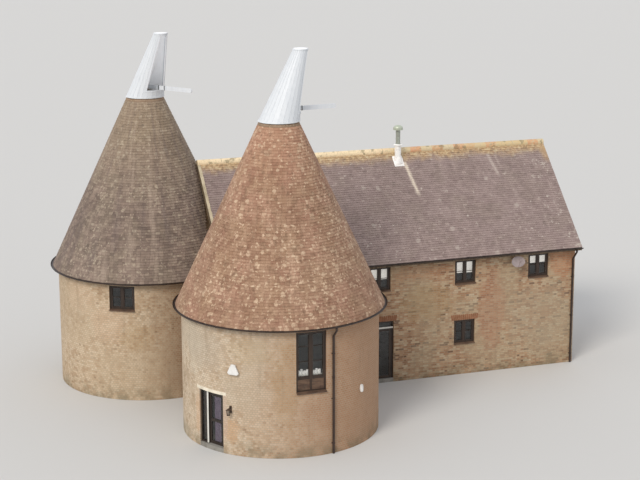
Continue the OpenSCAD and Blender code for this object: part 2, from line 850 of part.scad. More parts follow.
module cowl_a_bars() {
    color("gray") at_cowl(kiln_a, cowl_a_dir) cowl_bars();
}

module cowl_a_vane() {
    color("white") at_cowl(kiln_a, cowl_a_dir) cowl_vane();
}

module cowl_b_shell() {
    color("white") at_cowl(kiln_b, cowl_b_dir) cowl_shell();
}

module cowl_b_bars() {
    color("gray") at_cowl(kiln_b, cowl_b_dir) cowl_bars();
}

module cowl_b_vane() {
    color("white") at_cowl(kiln_b, cowl_b_dir) cowl_vane();
}

// A hinge stands in front of the face x = 0. Its plates lie on that face, the frame's towards -y and the
// leaf's towards +y, and the pin's axis is at y = 0.
hinge_out = knuckle_r + 1;
knuckle_h = (hinge_h - 2 * pin_gap) / 3;

module hinge_on_frame() {
    translate([hinge_out, 0, 0]) cylinder(h = hinge_h, r = pin_r);
    for (z = [0, hinge_h - knuckle_h]) translate([0, 0, z]) {
        translate([hinge_out, 0, 0]) cylinder(h = knuckle_h, r = knuckle_r);
        translate([0, -hinge_plate_w, 0]) cube([hinge_plate_t, hinge_plate_w, knuckle_h]);
    }
}

module hinge_on_leaf() {
    translate([0, 0, knuckle_h + pin_gap]) difference() {
        union() {
            translate([hinge_out, 0, 0]) cylinder(h = knuckle_h, r = knuckle_r);
            cube([hinge_plate_t, hinge_plate_w, knuckle_h]);
        }
        translate([hinge_out, 0, -1]) cylinder(h = knuckle_h + 2, r = pin_r + pin_gap);
    }
}

leaf_z0 = floor_t + sole_gap;
barn_leaf_z1 = transom_h - frame_bar / 2 - leaf_gap;
kiln_leaf_z1 = kiln_door_h - frame_bar - leaf_gap;
barn_leaf_w = (barn_door_w - 2 * frame_bar - 3 * leaf_gap) / 2;
kiln_leaf_w = kiln_door_w - side_light_w - 2 * frame_bar - 2 * leaf_gap;

// Puts hinges on a leaf that reaches up to z1, two of them a fifth of its height from its ends
module at_hinges(z1) {
    for (part = [0.2, 0.8]) translate([0, -leaf_gap / 2, leaf_z0 + part * (z1 - leaf_z0) - hinge_h / 2])
        children();
}

// A lever handle on the face x = 0, with its spindle at height 0 and its lever towards -y
module handle() {
    rotate([0, 90, 0]) cylinder(h = handle_r, r = 3 * handle_r);
    rotate([0, 90, 0]) cylinder(h = handle_out, r = handle_r);
    translate([handle_out - handle_r, 0, 0]) rotate([90, 0, 0]) cylinder(h = handle_len, r = handle_r);
}

// A glazed leaf from its hinged edge at y = 0 to its free edge at y = w, with its outer face at x = 0
module leaf(w, z1, rails = []) {
    difference() {
        translate([-leaf_t, 0, leaf_z0]) cube([leaf_t, w, z1 - leaf_z0]);
        difference() {
            translate([-leaf_t - 1, stile, leaf_z0 + stile])
                cube([leaf_t + 2, w - 2 * stile, z1 - leaf_z0 - 2 * stile]);
            for (z = rails) translate([-leaf_t - 2, 0, z - stile / 2]) cube([leaf_t + 4, w, stile]);
        }
    }
    translate([0, w - stile / 2, floor_t + handle_up]) {
        handle();
        translate([-leaf_t, 0, 0]) mirror([1, 0, 0]) handle();
    }
}

module leaf_glass(w, z0, z1) {
    translate([-(leaf_t + glass_t) / 2, stile, z0]) cube([glass_t, w - 2 * stile, z1 - z0]);
}

// The barn doors are hinged at the outer faces of their leaves and open outwards
module at_barn_leaf(side) {
    in_front_wall(barn_door_x) mirror([0, side, 0]) translate([0, -barn_leaf_w - leaf_gap / 2, 0]) children();
}

module barn_leaf() {
    leaf(barn_leaf_w, barn_leaf_z1);
    at_hinges(barn_leaf_z1) hinge_on_leaf();
}

module barn_leaf_glass() {
    leaf_glass(barn_leaf_w, leaf_z0 + stile, barn_leaf_z1 - stile);
}

module barn_door_frame() {
    color("saddlebrown") {
        in_front_wall(barn_door_x)
            frame(barn_door_w, floor_t, barn_door_h, rails = [transom_h], open_foot = true);
        for (side = [0, 1]) at_barn_leaf(side) at_hinges(barn_leaf_z1) hinge_on_frame();
    }
}

module barn_door_left_leaf() {
    color("saddlebrown") at_barn_leaf(0) barn_leaf();
}

module barn_door_left_glass() {
    color("slategray") at_barn_leaf(0) barn_leaf_glass();
}

module barn_door_right_leaf() {
    color("saddlebrown") at_barn_leaf(1) barn_leaf();
}

module barn_door_right_glass() {
    color("slategray") at_barn_leaf(1) barn_leaf_glass();
}

// The kiln door is hinged at the inner face of its leaf, beside the right jamb, and opens inwards
module at_kiln_leaf() {
    in_kiln_window(kiln_b, kiln_door_a)
        translate([leaf_t - frame_depth, kiln_door_w / 2 - frame_bar - leaf_gap, 0])
            mirror([0, 1, 0]) children();
}

module on_inner_face() {
    translate([-leaf_t, 0, 0]) mirror([1, 0, 0]) children();
}

module kiln_b_door_frame() {
    color("saddlebrown") {
        in_kiln_window(kiln_b, kiln_door_a) difference() {
            frame(kiln_door_w, floor_t, kiln_door_h, posts = [side_light_end + frame_bar / 2]);
            translate([-frame_depth - 1, side_light_end + frame_bar, 0])
                cube([frame_depth + 2, kiln_leaf_w + 2 * leaf_gap, floor_t + frame_bar + 1]);
        }
        at_kiln_leaf() on_inner_face() at_hinges(kiln_leaf_z1) hinge_on_frame();
    }
}

module kiln_door_leaf() {
    color("saddlebrown") at_kiln_leaf() {
        leaf(kiln_leaf_w, kiln_leaf_z1, rails = [mid_rail_h]);
        on_inner_face() at_hinges(kiln_leaf_z1) hinge_on_leaf();
    }
}

module kiln_door_glass() {
    color("slategray") at_kiln_leaf() {
        leaf_glass(kiln_leaf_w, leaf_z0 + stile, mid_rail_h - stile / 2);
        leaf_glass(kiln_leaf_w, mid_rail_h + stile / 2, kiln_leaf_z1 - stile);
    }
}

// The flue passes through the front slope in a wider sleeve and ends under a shallow conical cap
module flue() {
    foot = roof_under(flue_y) - flue_sleeve_r * slope;
    top = ridge_h + flue_up;
    cap_h = flue_cap_r / 2;
    color("dimgray") translate([flue_x, -flue_y, 0]) rotate_extrude() polygon([
        [0, foot], [flue_sleeve_r, foot], [flue_sleeve_r, ridge_h + flue_sleeve_up],
        [flue_r, ridge_h + flue_sleeve_up + flue_sleeve_r - flue_r], [flue_r, top - cap_h],
        [flue_cap_r, top - cap_h], [flue_cap_r, top - 0.8 * cap_h], [0, top]
    ]);
}

dish_tilt = 75;
dish_focus = 260;
dish_rings = 12;
dish_arm_r = 20;

// Depth of the dish's hollow at a distance r from its middle
function dish_z(r) = r * r / (4 * dish_focus);

// A shallow dish with an oval rim, on an arm from the wall, with a receiver held in front of it
module satellite_dish() {
    color("lightgray") translate([dish_x, front_y, barn_eave_h - dish_drop]) {
        rotate([90, 0, 0]) cylinder(h = dish_out, r = dish_arm_r);
        rotate([90, 0, 0]) cylinder(h = dish_arm_r / 2, r = 3 * dish_arm_r);
        translate([0, -dish_out, 0]) rotate([dish_tilt, 0, 0]) {
            intersection() {
                rotate_extrude($fn = kiln_fn) polygon(concat(
                    [for (i = [0:dish_rings]) let(r = dish_r * i / dish_rings) [r, dish_z(r)]],
                    [for (i = [dish_rings:-1:0]) let(r = dish_r * i / dish_rings) [r, dish_z(r) - dish_t]]
                ));
                translate([0, 0, -dish_t]) scale([1, dish_rise / dish_r, 1])
                    cylinder(h = dish_focus, r = dish_r);
            }
            translate([0, 0, dish_focus - dish_arm_r]) cylinder(h = 3 * dish_arm_r, r = 1.2 * dish_arm_r);
            rod_y = dish_rise - dish_arm_r;
            rod_foot = dish_z(rod_y);
            rod_h = dish_focus - rod_foot;
            translate([0, -rod_y, rod_foot - dish_t / 2]) rotate([-atan2(rod_y, rod_h), 0, 0])
                cylinder(h = sqrt(rod_h * rod_h + rod_y * rod_y), r = dish_arm_r / 2);
        }
    }
}

box_dir = -134;
lantern_dir = -136.5;
lamp_dir = -56;

// A case that narrows towards its top and its foot
module wall_box() {
    foot_w = box_w - 2 * box_corner_h;
    color("white") on_kiln_wall(kiln_b, box_dir) translate([seat, 0, box_foot])
        rotate([90, 0, 90]) linear_extrude(box_d) polygon([
            [-foot_w / 2, 0], [foot_w / 2, 0], [box_w / 2, box_corner_h],
            [box_top_w / 2, box_h], [-box_top_w / 2, box_h], [-box_w / 2, box_corner_h]
        ]);
}

// A six-sided lantern hung from a bracket, and a short round light
module wall_lights() {
    lantern_out = 2 * lantern_r;
    color("black") on_kiln_wall(kiln_b, lantern_dir) translate([seat, 0, lantern_h]) {
        translate([0, -lantern_r / 2, -lantern_r]) cube([lantern_bar, lantern_r, 3 * lantern_r]);
        translate([0, -lantern_bar / 2, lantern_r])
            cube([lantern_out + lantern_bar, lantern_bar, lantern_bar]);
        translate([lantern_out, 0, -2 * lantern_r]) cylinder(h = 2.4 * lantern_r, r = lantern_r, $fn = 6);
        translate([lantern_out, 0, 0.4 * lantern_r])
            cylinder(h = 0.6 * lantern_r, r1 = 1.2 * lantern_r, r2 = lantern_r / 3);
    }
    color("white") on_kiln_wall(kiln_b, lamp_dir) translate([seat + lamp_r, 0, lamp_foot]) {
        cylinder(h = lamp_len, r = lamp_r);
        translate([-lamp_r, -lamp_r / 2, lamp_len / 4]) cube([lamp_r, lamp_r, lamp_len / 2]);
    }
}

barn_floor();
barn_upper_floor();
barn_front_wall_left();
barn_front_wall_over_door();
barn_front_wall_right();
barn_back_wall();
barn_left_gable();
barn_right_gable();
barn_front_roof();
barn_back_roof();
ridge_tiles();
gutters();
downpipes();
window_frames();
window_glass();
window_sills();
barn_door_frame();
flue();
satellite_dish();
kiln_floors();
kiln_a_wall_front();
kiln_a_wall_right();
kiln_a_wall_back();
kiln_a_wall_left();
kiln_a_roof();
kiln_b_wall_front();
kiln_b_wall_right();
kiln_b_wall_back();
kiln_b_wall_over_door();
kiln_b_roof();
kiln_b_lintel();
kiln_b_door_frame();
cowl_curbs();
cowl_spindles();
wall_box();
wall_lights();
cowl_a_shell();
cowl_a_bars();
cowl_a_vane();
cowl_b_shell();
cowl_b_bars();
cowl_b_vane();
kiln_door_leaf();
kiln_door_glass();
barn_door_left_leaf();
barn_door_left_glass();
barn_door_right_leaf();
barn_door_right_glass();
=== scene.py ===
"""Looks of the oast house: brickwork, peg tiles, painted cowls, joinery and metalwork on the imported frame."""
import json
import math

import bmesh
import bpy
import numpy as np
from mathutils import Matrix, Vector


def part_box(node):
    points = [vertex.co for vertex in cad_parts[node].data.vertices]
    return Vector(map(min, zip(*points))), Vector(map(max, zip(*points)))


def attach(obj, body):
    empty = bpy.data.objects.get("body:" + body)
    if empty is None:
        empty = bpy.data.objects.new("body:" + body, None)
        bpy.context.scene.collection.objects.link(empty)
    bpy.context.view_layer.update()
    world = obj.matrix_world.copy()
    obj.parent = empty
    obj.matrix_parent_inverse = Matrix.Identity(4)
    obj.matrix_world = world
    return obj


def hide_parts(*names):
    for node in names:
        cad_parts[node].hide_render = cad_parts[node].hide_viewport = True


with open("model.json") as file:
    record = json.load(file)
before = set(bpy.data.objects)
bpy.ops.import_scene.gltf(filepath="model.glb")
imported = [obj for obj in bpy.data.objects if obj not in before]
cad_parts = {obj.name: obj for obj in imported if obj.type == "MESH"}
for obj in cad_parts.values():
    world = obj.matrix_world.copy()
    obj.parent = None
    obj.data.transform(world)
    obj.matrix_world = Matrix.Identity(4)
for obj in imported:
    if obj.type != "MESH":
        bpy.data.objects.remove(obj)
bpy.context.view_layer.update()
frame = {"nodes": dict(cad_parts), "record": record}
nodes = frame["nodes"]
chance = np.random.default_rng(11)


# Places and sizes taken from the frame, in metres
def kiln_axis(node):
    low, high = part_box(node)
    return Vector(((low.x + high.x) / 2, (low.y + high.y) / 2, 0))


KILN_A = kiln_axis("kiln_a_roof")
KILN_B = kiln_axis("kiln_b_roof")
cone_low, cone_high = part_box("kiln_b_roof")
CONE_R = (cone_high.x - cone_low.x) / 2
KILN_EAVE = cone_low.z
CONE_TOP = cone_high.z
slope_low, slope_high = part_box("barn_front_roof")
VERGE_X = slope_high.x
EAVE_Y = -slope_low.y
RIDGE_Z = slope_high.z
gable_low, gable_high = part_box("barn_right_gable")
WALL_X = gable_high.x
WALL_Y = gable_high.y
INNER_X = gable_low.x
WALL_T = WALL_X - INNER_X
COWL_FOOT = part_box("cowl_a_shell")[0].z

# Sizes of the house that the boxes don't give
KILN_R = 3.400
KILN_INNER_R = 3.060
CONE_LIP = .040
CONE_FOOT = KILN_EAVE + CONE_LIP
CONE_TOP_R = .660
EAVE_LIP = .130
EAVE_Z = slope_low.z + EAVE_LIP
REVEAL = .060
FRAME_BAR = .060
WIN_W = .860
WIN_H = .920
UPPER_SILL = 3.590
GROUND_SILL = 1.230
WIN_XS = (-1.100, 2.370, 5.430)
GROUND_WINDOWS = ((-1, WIN_XS[1]), (1, WIN_XS[0]), (1, WIN_XS[1]))
KILN_WIN = {"w": .950, "z0": 3.390, "z1": 4.290, "turn": -120}
TALL_WIN = {"w": 1.040, "z0": 2.230, "z1": 4.290, "turn": -90, "panel": .460}
KILN_REVEAL = REVEAL + KILN_R - math.sqrt(KILN_R ** 2 - TALL_WIN["w"] ** 2 / 4)
DOOR_X = -1.180
DOOR_W = 1.300
DOOR_H = 2.390
TRANSOM_Z = 2.130
KILN_DOOR_W = 1.110
KILN_DOOR_TURN = -151
DOOR_SETBACK = REVEAL + KILN_R - math.sqrt(KILN_R ** 2 - KILN_DOOR_W ** 2 / 4)
GUTTER_R = .065
PIPE_R = .040
PIPE_A_TURN = 150
PIPE_B_TURN = -77
COWL_A_TURN = -54
COWL_B_TURN = 8
FLUE_X = .770
FLUE_Y = -.350
LANTERN_TURN = -136.5
LANTERN_Z = 1.560
LIGHT_TURN = -56
LIGHT_Z = 1.870
CASE_TURN = -134
CASE_Z = 2.800
CASE_H = .360

CONE_RUN = CONE_R - CONE_TOP_R
CONE_RISE = CONE_TOP - CONE_FOOT
CONE_PITCH = math.atan2(CONE_RISE, CONE_RUN)
CONE_SLOPE = math.hypot(CONE_RUN, CONE_RISE)
BARN_PITCH = math.atan2(RIDGE_Z - EAVE_Z, EAVE_Y)
BARN_SLOPE = math.hypot(RIDGE_Z - EAVE_Z, EAVE_Y)
UP = Vector((0, 0, 1))


def paint(red, green, blue):
    """A colour as it is seen, from 0 to 255, as the shaders' own numbers."""
    seen = np.array([red, green, blue]) / 255
    linear = np.where(seen <= .04045, seen / 12.92, ((seen + .055) / 1.055) ** 2.4)
    return (*linear.tolist(), 1)


# Finishes
def maths(kind):
    """A method that sends a value, with what it is combined with, through a maths node."""
    return lambda value, other=0: value.finish.math(kind, value, other)


class Value:
    """A socket of a finish that can stand in a formula."""

    def __init__(self, finish, socket):
        self.finish = finish
        self.socket = socket

    def __rsub__(self, other):
        return self.finish.math("SUBTRACT", other, self)

    __add__ = __radd__ = maths("ADD")
    __sub__ = maths("SUBTRACT")
    __mul__ = __rmul__ = maths("MULTIPLY")
    __truediv__ = maths("DIVIDE")
    __mod__ = maths("FLOORED_MODULO")
    __abs__ = maths("ABSOLUTE")
    __gt__ = maths("GREATER_THAN")
    __lt__ = maths("LESS_THAN")
    floor = maths("FLOOR")
    least = maths("MINIMUM")
    most = maths("MAXIMUM")


class Finish:
    """One material, made from nodes that feed a single shader. Colours are given as they are seen."""

    def __init__(self, name, roughness=.9, **fixed):
        self.material = bpy.data.materials.new(name)
        self.open(self.material, "Principled BSDF")
        self.set("Roughness", roughness)
        for socket, value in fixed.items():
            self.set(socket.replace("_", " "), value)

    def open(self, holder, shader):
        holder.use_nodes = True
        self.tree = holder.node_tree
        self.shader = self.tree.nodes[shader]

    def set(self, socket, value):
        self._feed(self.shader.inputs[socket], value)

    def _feed(self, socket, value):
        if isinstance(value, Value):
            self.tree.links.new(value.socket, socket)
        else:
            socket.default_value = paint(*value) if isinstance(value, tuple) else value

    def node(self, kind, settings=None, values=None, output=0):
        """Adds a node with its settings, then its values or links, and returns one of its outputs."""
        made = self.tree.nodes.new(kind)
        for key, setting in (settings or {}).items():
            if key == "stops":
                self._set_stops(made.color_ramp, setting)
            else:
                setattr(made, key, setting)
        for key, value in (values or {}).items():
            self._feed(made.inputs[key], value)
        return Value(self, made.outputs[output])

    def _set_stops(self, ramp, stops):
        """Puts pairs of a place and a colour on a colour ramp."""
        while len(ramp.elements) < len(stops):
            ramp.elements.new(1)
        for element, (position, colour) in zip(ramp.elements, stops):
            element.position = position
            element.color = paint(*colour)

    def math(self, operation, first, second=0):
        return self.node("ShaderNodeMath", {"operation": operation}, {0: first, 1: second})

    def parts(self, vector):
        """The three numbers of a vector or a colour."""
        first = self.node("ShaderNodeSeparateXYZ", values={0: vector})
        return [Value(self, output) for output in first.socket.node.outputs]

    def vector(self, x, y, z):
        return self.node("ShaderNodeCombineXYZ", values={0: x, 1: y, 2: z})

    def place(self):
        """Where a point lies on the piece, in metres."""
        return self.node("ShaderNodeTexCoord", output="Object")

    def facing(self):
        return self.node("ShaderNodeNewGeometry", output="Normal")

    def own(self):
        """The number that each tile of a piece carries."""
        return self.node("ShaderNodeAttribute", {"attribute_name": "tone"}, output="Fac")

    def cloud(self, place, size, detail=2, rough=.5):
        values = {"Vector": place, "Scale": 1 / size, "Detail": detail, "Roughness": rough}
        return self.node("ShaderNodeTexNoise", values=values)

    def speckle(self, x, y, z):
        """Three numbers at random for each whole step of x, y and z."""
        values = {"Vector": self.vector(x, y, z)}
        return self.parts(self.node("ShaderNodeTexWhiteNoise", values=values, output="Color"))

    def rosettes(self, place, size):
        """Round spots strewn at random: how far off the nearest is, and three numbers of its own."""
        values = {"Vector": place, "Scale": 1 / size}
        reach = self.node("ShaderNodeTexVoronoi", values=values, output="Distance")
        return reach, self.parts(Value(self, reach.socket.node.outputs["Color"]))

    def rise(self, value, start, end):
        """From 0 below start to 1 above end, with soft ends."""
        values = {0: value, 1: start, 2: end}
        return self.node("ShaderNodeMapRange", {"interpolation_type": "SMOOTHSTEP"}, values)

    def fall(self, value, start, end):
        return 1 - self.rise(value, start, end)

    def ramp(self, value, *stops):
        return self.node("ShaderNodeValToRGB", {"stops": stops}, {0: value})

    def blend(self, share, first, second, how="MIX"):
        settings = {"data_type": "RGBA", "blend_type": how}
        return self.node("ShaderNodeMix", settings, {0: share, 6: first, 7: second}, output=2)

    def coat(self, share, colour, how="MIX"):
        """Lays a share of a colour over what is there."""
        self.colour = self.blend(share, self.colour, colour, how)

    def done(self, height, depth):
        """Sets the colour, raises the surface by a height from 0 to 1 times a depth in metres, and ends."""
        self.set("Base Color", self.colour)
        values = {"Strength": 1, "Distance": depth, "Height": height}
        self.set("Normal", self.node("ShaderNodeBump", values=values))
        return self.material


# Brickwork
COURSE = .075
JOINT = .010
HEADER = .1125
STRETCHER = .225


def bricks(finish, along, height, flemish):
    """Lays bricks. Returns three random numbers of each brick, and 1 on its face or 0 in a joint."""
    row = (height / COURSE).floor()
    odd = row % 2
    if flemish:
        period = STRETCHER + HEADER
        place = along + odd * (period / 2)
        pair = (place / period).floor()
        inside = place - pair * period
        header = inside > STRETCHER
        start = inside - header * STRETCHER
        width = STRETCHER - header * (STRETCHER - HEADER)
        column = pair * 2 + header
    else:
        place = along + odd * (HEADER / 2)
        column = (place / HEADER).floor()
        start = place - column * HEADER
        width = HEADER
    over = height - row * COURSE
    edge = start.least(width - start).least(over.least(COURSE - over))
    return finish.speckle(column, row, .5), finish.rise(edge, JOINT * .25, JOINT * .8)


def wall_finish(name, stops, patch, mortar, axis=None, side_tone_and_shade=None):
    """Weathered brick outside and limewashed plaster inside. A kiln gives its axis, and the barn none."""
    f = Finish(name, roughness=.92)
    place = f.place()
    x, y, z = f.parts(place)
    if axis:
        dx = x - axis.x
        dy = y - axis.y
        along = f.math("ARCTAN2", dy, dx) * KILN_R
        out = f.math("SQRT", dx * dx + dy * dy)
        inside = f.fall(out, KILN_INNER_R + .002, KILN_INNER_R + .004)
    else:
        nx = abs(f.parts(f.facing())[0]) > .7
        along = x + nx * (y - x)
        inside = (abs(x) < INNER_X + .003) * (abs(y) < WALL_Y - WALL_T + .003)
    (one, two, three), face = bricks(f, along, z, flemish=not axis)
    broad = f.cloud(place, 1.6, detail=4, rough=.6)
    blotch = f.cloud(place, .42, detail=3, rough=.6)
    fine = f.cloud(place, .035, detail=3, rough=.7)
    mixed = one * patch["mix"] + broad * .62 + blotch * .95 + (.5 - patch["mix"]) / 2 - .535
    f.colour = f.ramp(mixed, *stops)
    # Some bricks are burnt darker or paler than the rest
    f.coat(f.rise(two, .93, .96) * patch["odd"], patch["dark"])
    f.coat(f.rise(three, .90, .94) * patch["odd"], patch["pale"])
    # Broad patches of rebuilt or washed brickwork
    washed = f.rise(f.cloud(place, 2.3, detail=3), .50, .62)
    f.coat(washed * patch["share"], patch["wash"])
    # Patches that lie at known spots: where along the wall, how high, how wide, how tall, share and colour
    for spot, level, wide, tall, share, tint in patch["areas"]:
        dx_area = (along - spot) * (1 / wide)
        dz_area = (z - level) * (1 / tall)
        reach = dx_area * dx_area + dz_area * dz_area + (blotch - .5) * 2.2
        within = f.fall(reach, .3, 1.2) * (1 if axis else y < 0)
        f.coat(within * share, tint)
    # Warmer, darker brick round the kiln's side away from the sun: partly the bricks' own colour, partly
    # painted shade
    if side_tone_and_shade:
        side = f.rise(dx / KILN_R + broad * .35, side_tone_and_shade["start"], side_tone_and_shade["end"])
        f.coat(side * side_tone_and_shade["share"], side_tone_and_shade["colour"])
    f.coat(fine * .30, (96, 78, 62), "MULTIPLY")
    bed = f.blend(broad, mortar, (150, 134, 112))
    f.colour = f.blend(face, bed, f.colour)
    # Splashed earth and damp at the foot, sooty runs, and plaster inside
    damp = f.fall(z + broad * .5, .25, .95) * f.rise(f.cloud(place, .4, detail=4), .35, .65)
    f.coat(damp * .55, (104, 98, 74))
    runs = f.cloud(f.vector(along * 5, 0, z * .5), 1, detail=3)
    f.coat(f.rise(runs, .54, .74) * .18, (120, 104, 84))
    f.coat(inside, (206, 200, 186))
    return f.done((face * .8 + fine * .35) * (1 - inside * .8), .006)


BARN_BRICK = wall_finish(
    "barn brick",
    [(0, (134, 102, 78)), (.3, (172, 131, 99)), (.55, (190, 155, 121)), (.8, (200, 175, 144)),
     (1, (172, 118, 84))],
    {"dark": (92, 70, 58), "pale": (206, 187, 158), "wash": (184, 166, 136), "share": .45,
     "mix": .62, "odd": .65,
     "areas": [(3.5, 2.4, .62, 1.7, .45, (184, 128, 98)), (5.5, 2.0, 1.5, 1.35, .4, (184, 168, 142)),
               (6.5, 4.2, .6, .8, .5, (198, 134, 94)), (.9, 3.0, 1.3, .8, .4, (176, 146, 102)),
               (.6, 4.2, 1.4, .35, .35, (190, 136, 98))]},
    (178, 164, 140))
KILN_A_BRICK = wall_finish(
    "rear kiln brick",
    [(0, (154, 122, 92)), (.3, (190, 160, 128)), (.6, (212, 188, 158)), (.85, (226, 205, 176)),
     (1, (182, 134, 96))],
    {"dark": (122, 94, 68), "pale": (228, 214, 188), "wash": (204, 182, 152), "share": .4,
     "mix": .36, "odd": .35,
     "areas": [(-7.7, 2.9, .9, .8, .4, (224, 194, 164)), (-9.0, 3.7, .8, .7, .35, (226, 198, 168)),
               (-4.4, 2.0, .8, 1.1, .5, (168, 122, 82)), (-6.6, 2.4, .7, .6, .3, (186, 152, 104))]},
    (196, 182, 156), KILN_A, {"start": -.30, "end": .55, "share": .85, "colour": (154, 118, 88)})
KILN_B_BRICK = wall_finish(
    "front kiln brick",
    [(0, (164, 136, 106)), (.3, (197, 172, 143)), (.6, (224, 204, 177)), (.85, (232, 216, 192)),
     (1, (190, 150, 116))],
    {"dark": (128, 102, 80), "pale": (232, 223, 204), "wash": (214, 201, 178), "share": .55,
     "mix": .32, "odd": .3,
     "areas": [(-6.2, 2.7, .5, 1.7, .5, (188, 158, 112)), (-9.3, 3.5, 1.1, .8, .4, (200, 187, 168)),
               (-8.1, .8, .35, .5, .5, (214, 166, 118)), (-8.33, 1.3, .12, 1.0, .5, (222, 196, 180)),
               (-9.62, 1.2, .14, 1.1, .5, (230, 190, 152)), (-5.0, 1.5, .9, .7, .4, (180, 144, 118)),
               (-7.4, 3.6, .9, .5, .3, (206, 188, 150))]},
    (198, 186, 164), KILN_B, {"start": -1.0, "end": .75, "share": .85, "colour": (176, 128, 92)})


# Peg tiles
def tile_finish(name, stops, lichen, moss, runs, axis=None, top=None, ridge=None, washes=()):
    """Hand-made clay tiles, each with its own tone, with lichen, moss, runs and broad weathering."""
    f = Finish(name, roughness=.88)
    place = f.place()
    x, y, z = f.parts(place)
    along = f.math("ARCTAN2", y - axis.y, x - axis.x) * (CONE_R * .6) if axis else x
    tone = f.own()
    one, two = f.speckle(tone * 971, 1, 2)[:2]
    broad = f.cloud(place, 1.4, detail=4, rough=.6)
    blotch = f.cloud(place, .38, detail=4, rough=.6)
    fine = f.cloud(place, .03, detail=3, rough=.7)
    f.colour = f.ramp(tone * .44 + broad * .58 + blotch * .85 - .435, *stops)
    f.coat(fine * .35, (120, 104, 92), "MULTIPLY")
    drift = f.cloud(place, .8, detail=3)
    f.coat(f.rise(drift, .50, .64) * .22, moss["warm"])
    f.coat(f.fall(drift, .36, .50) * .22, moss["cool"])
    if top:
        high = f.rise(z + broad * 1.6, CONE_TOP - top["depth"], CONE_TOP + .6)
        f.coat(high * top["share"], top["colour"])
    spots = f.cloud(place, lichen["size"], detail=4, rough=.65)
    end = f.rise(x, 4.4, VERGE_X) * (0 if axis else .05)
    grown = f.rise(spots + broad * .25 + one * .10 + end, lichen["start"], lichen["start"] + .06)
    f.coat(grown * lichen["share"], lichen["colour"])
    f.coat(f.fall(spots, .32, .45) * moss["deep"], moss["colour"])
    reach, (wide, many, dark) = f.rosettes(place, lichen["apart"])
    disc = f.fall(reach + (spots - .5) * 1.1, wide * .28, wide * .28 + .14)
    f.coat(disc * (many > lichen["few"]) * lichen["discs"], lichen["colour"])
    f.coat(disc * (many < lichen["few"]) * (dark > .4) * lichen["discs"], moss["colour"])
    pale = f.rise(two, lichen["tiles"], lichen["tiles"] + .03)
    f.coat(pale * .45, lichen["pale"])
    mossy = f.rise(f.cloud(place, moss["size"], detail=5, rough=.65), moss["start"], moss["start"] + .12)
    f.coat(mossy * moss["share"], moss["colour"])
    strands = f.cloud(f.vector(along * 2.6, 0, z * .28), 1, detail=4, rough=.6)
    f.coat(f.rise(strands, .50, .72) * runs["share"], runs["dark"])
    f.coat(f.fall(strands, .30, .46) * runs["share"], runs["light"])
    if ridge:
        near = f.rise(z + f.cloud(place, .3) * .35, ridge["start"], ridge["end"])
        f.coat(near * ridge["share"], f.ramp(spots, *ridge["stops"]))
    for wash in washes:
        offset = abs(x - wash["x"] + (z - wash["top"]) * wash["drift"] + (spots - .5) * .16)
        line = f.fall(offset + (1 - fine) * .06, wash["width"] * .2, wash["width"])
        fade = f.rise(z, wash["foot"], wash["foot"] + .3) * f.fall(z, wash["top"] - .05, wash["top"])
        f.coat(line * fade * wash["share"] * (y < 0), wash["colour"])
    return f.done(fine * .6 + spots * .5, .004)


KILN_A_TILE = tile_finish(
    "rear kiln tile",
    [(0, (94, 79, 73)), (.3, (123, 106, 95)), (.6, (146, 128, 114)), (1, (168, 150, 134))],
    {"size": .10, "start": .775, "share": .6, "colour": (190, 176, 154), "tiles": .965,
     "pale": (184, 170, 150), "apart": .20, "few": .74, "discs": .35},
    {"size": .5, "start": .60, "share": .3, "colour": (104, 92, 80), "warm": (156, 134, 122),
     "cool": (138, 126, 106), "deep": .45},
    {"share": .5, "dark": (102, 88, 85), "light": (172, 154, 138)},
    KILN_A, {"depth": 3.2, "share": .5, "colour": (164, 144, 116)})
KILN_B_TILE = tile_finish(
    "front kiln tile",
    [(0, (128, 92, 72)), (.3, (157, 119, 95)), (.6, (173, 138, 112)), (1, (190, 156, 130))],
    {"size": .10, "start": .765, "share": .66, "colour": (224, 199, 169), "tiles": .96,
     "pale": (214, 188, 158), "apart": .21, "few": .52, "discs": .5},
    {"size": .28, "start": .54, "share": .45, "colour": (122, 94, 72), "warm": (192, 145, 124),
     "cool": (170, 140, 108), "deep": .6},
    {"share": .3, "dark": (140, 108, 88), "light": (198, 164, 138)},
    KILN_B, {"depth": 1.9, "share": .35, "colour": (194, 144, 116)})
BARN_TILE = tile_finish(
    "barn tile",
    [(0, (134, 115, 110)), (.35, (152, 133, 128)), (.65, (162, 143, 137)), (1, (174, 156, 149))],
    {"size": .14, "start": .82, "share": .6, "colour": (204, 194, 182), "tiles": .975,
     "pale": (184, 168, 158), "apart": .30, "few": .86, "discs": .35},
    {"size": .5, "start": .64, "share": .3, "colour": (120, 106, 99), "warm": (166, 146, 142),
     "cool": (146, 132, 120), "deep": .35},
    {"share": .3, "dark": (134, 116, 112), "light": (176, 158, 150)},
    ridge={"start": RIDGE_Z - .30, "end": RIDGE_Z + .08, "share": .85,
           "stops": [(.36, (152, 128, 98)), (.5, (194, 161, 118)), (.6, (212, 192, 152))]},
    washes=[{"x": 1.00, "top": 7.86, "foot": 6.62, "drift": .165, "width": .15, "share": .9,
             "colour": (222, 208, 190)},
            {"x": 4.56, "top": 7.95, "foot": 7.05, "drift": .24, "width": .15, "share": .6,
             "colour": (196, 182, 172)},
            {"x": 4.86, "top": 7.90, "foot": 7.35, "drift": .20, "width": .13, "share": .4,
             "colour": (192, 176, 166)},
            {"x": 7.05, "top": 8.10, "foot": 7.45, "drift": .12, "width": .34, "share": .5,
             "colour": (196, 162, 114)}])


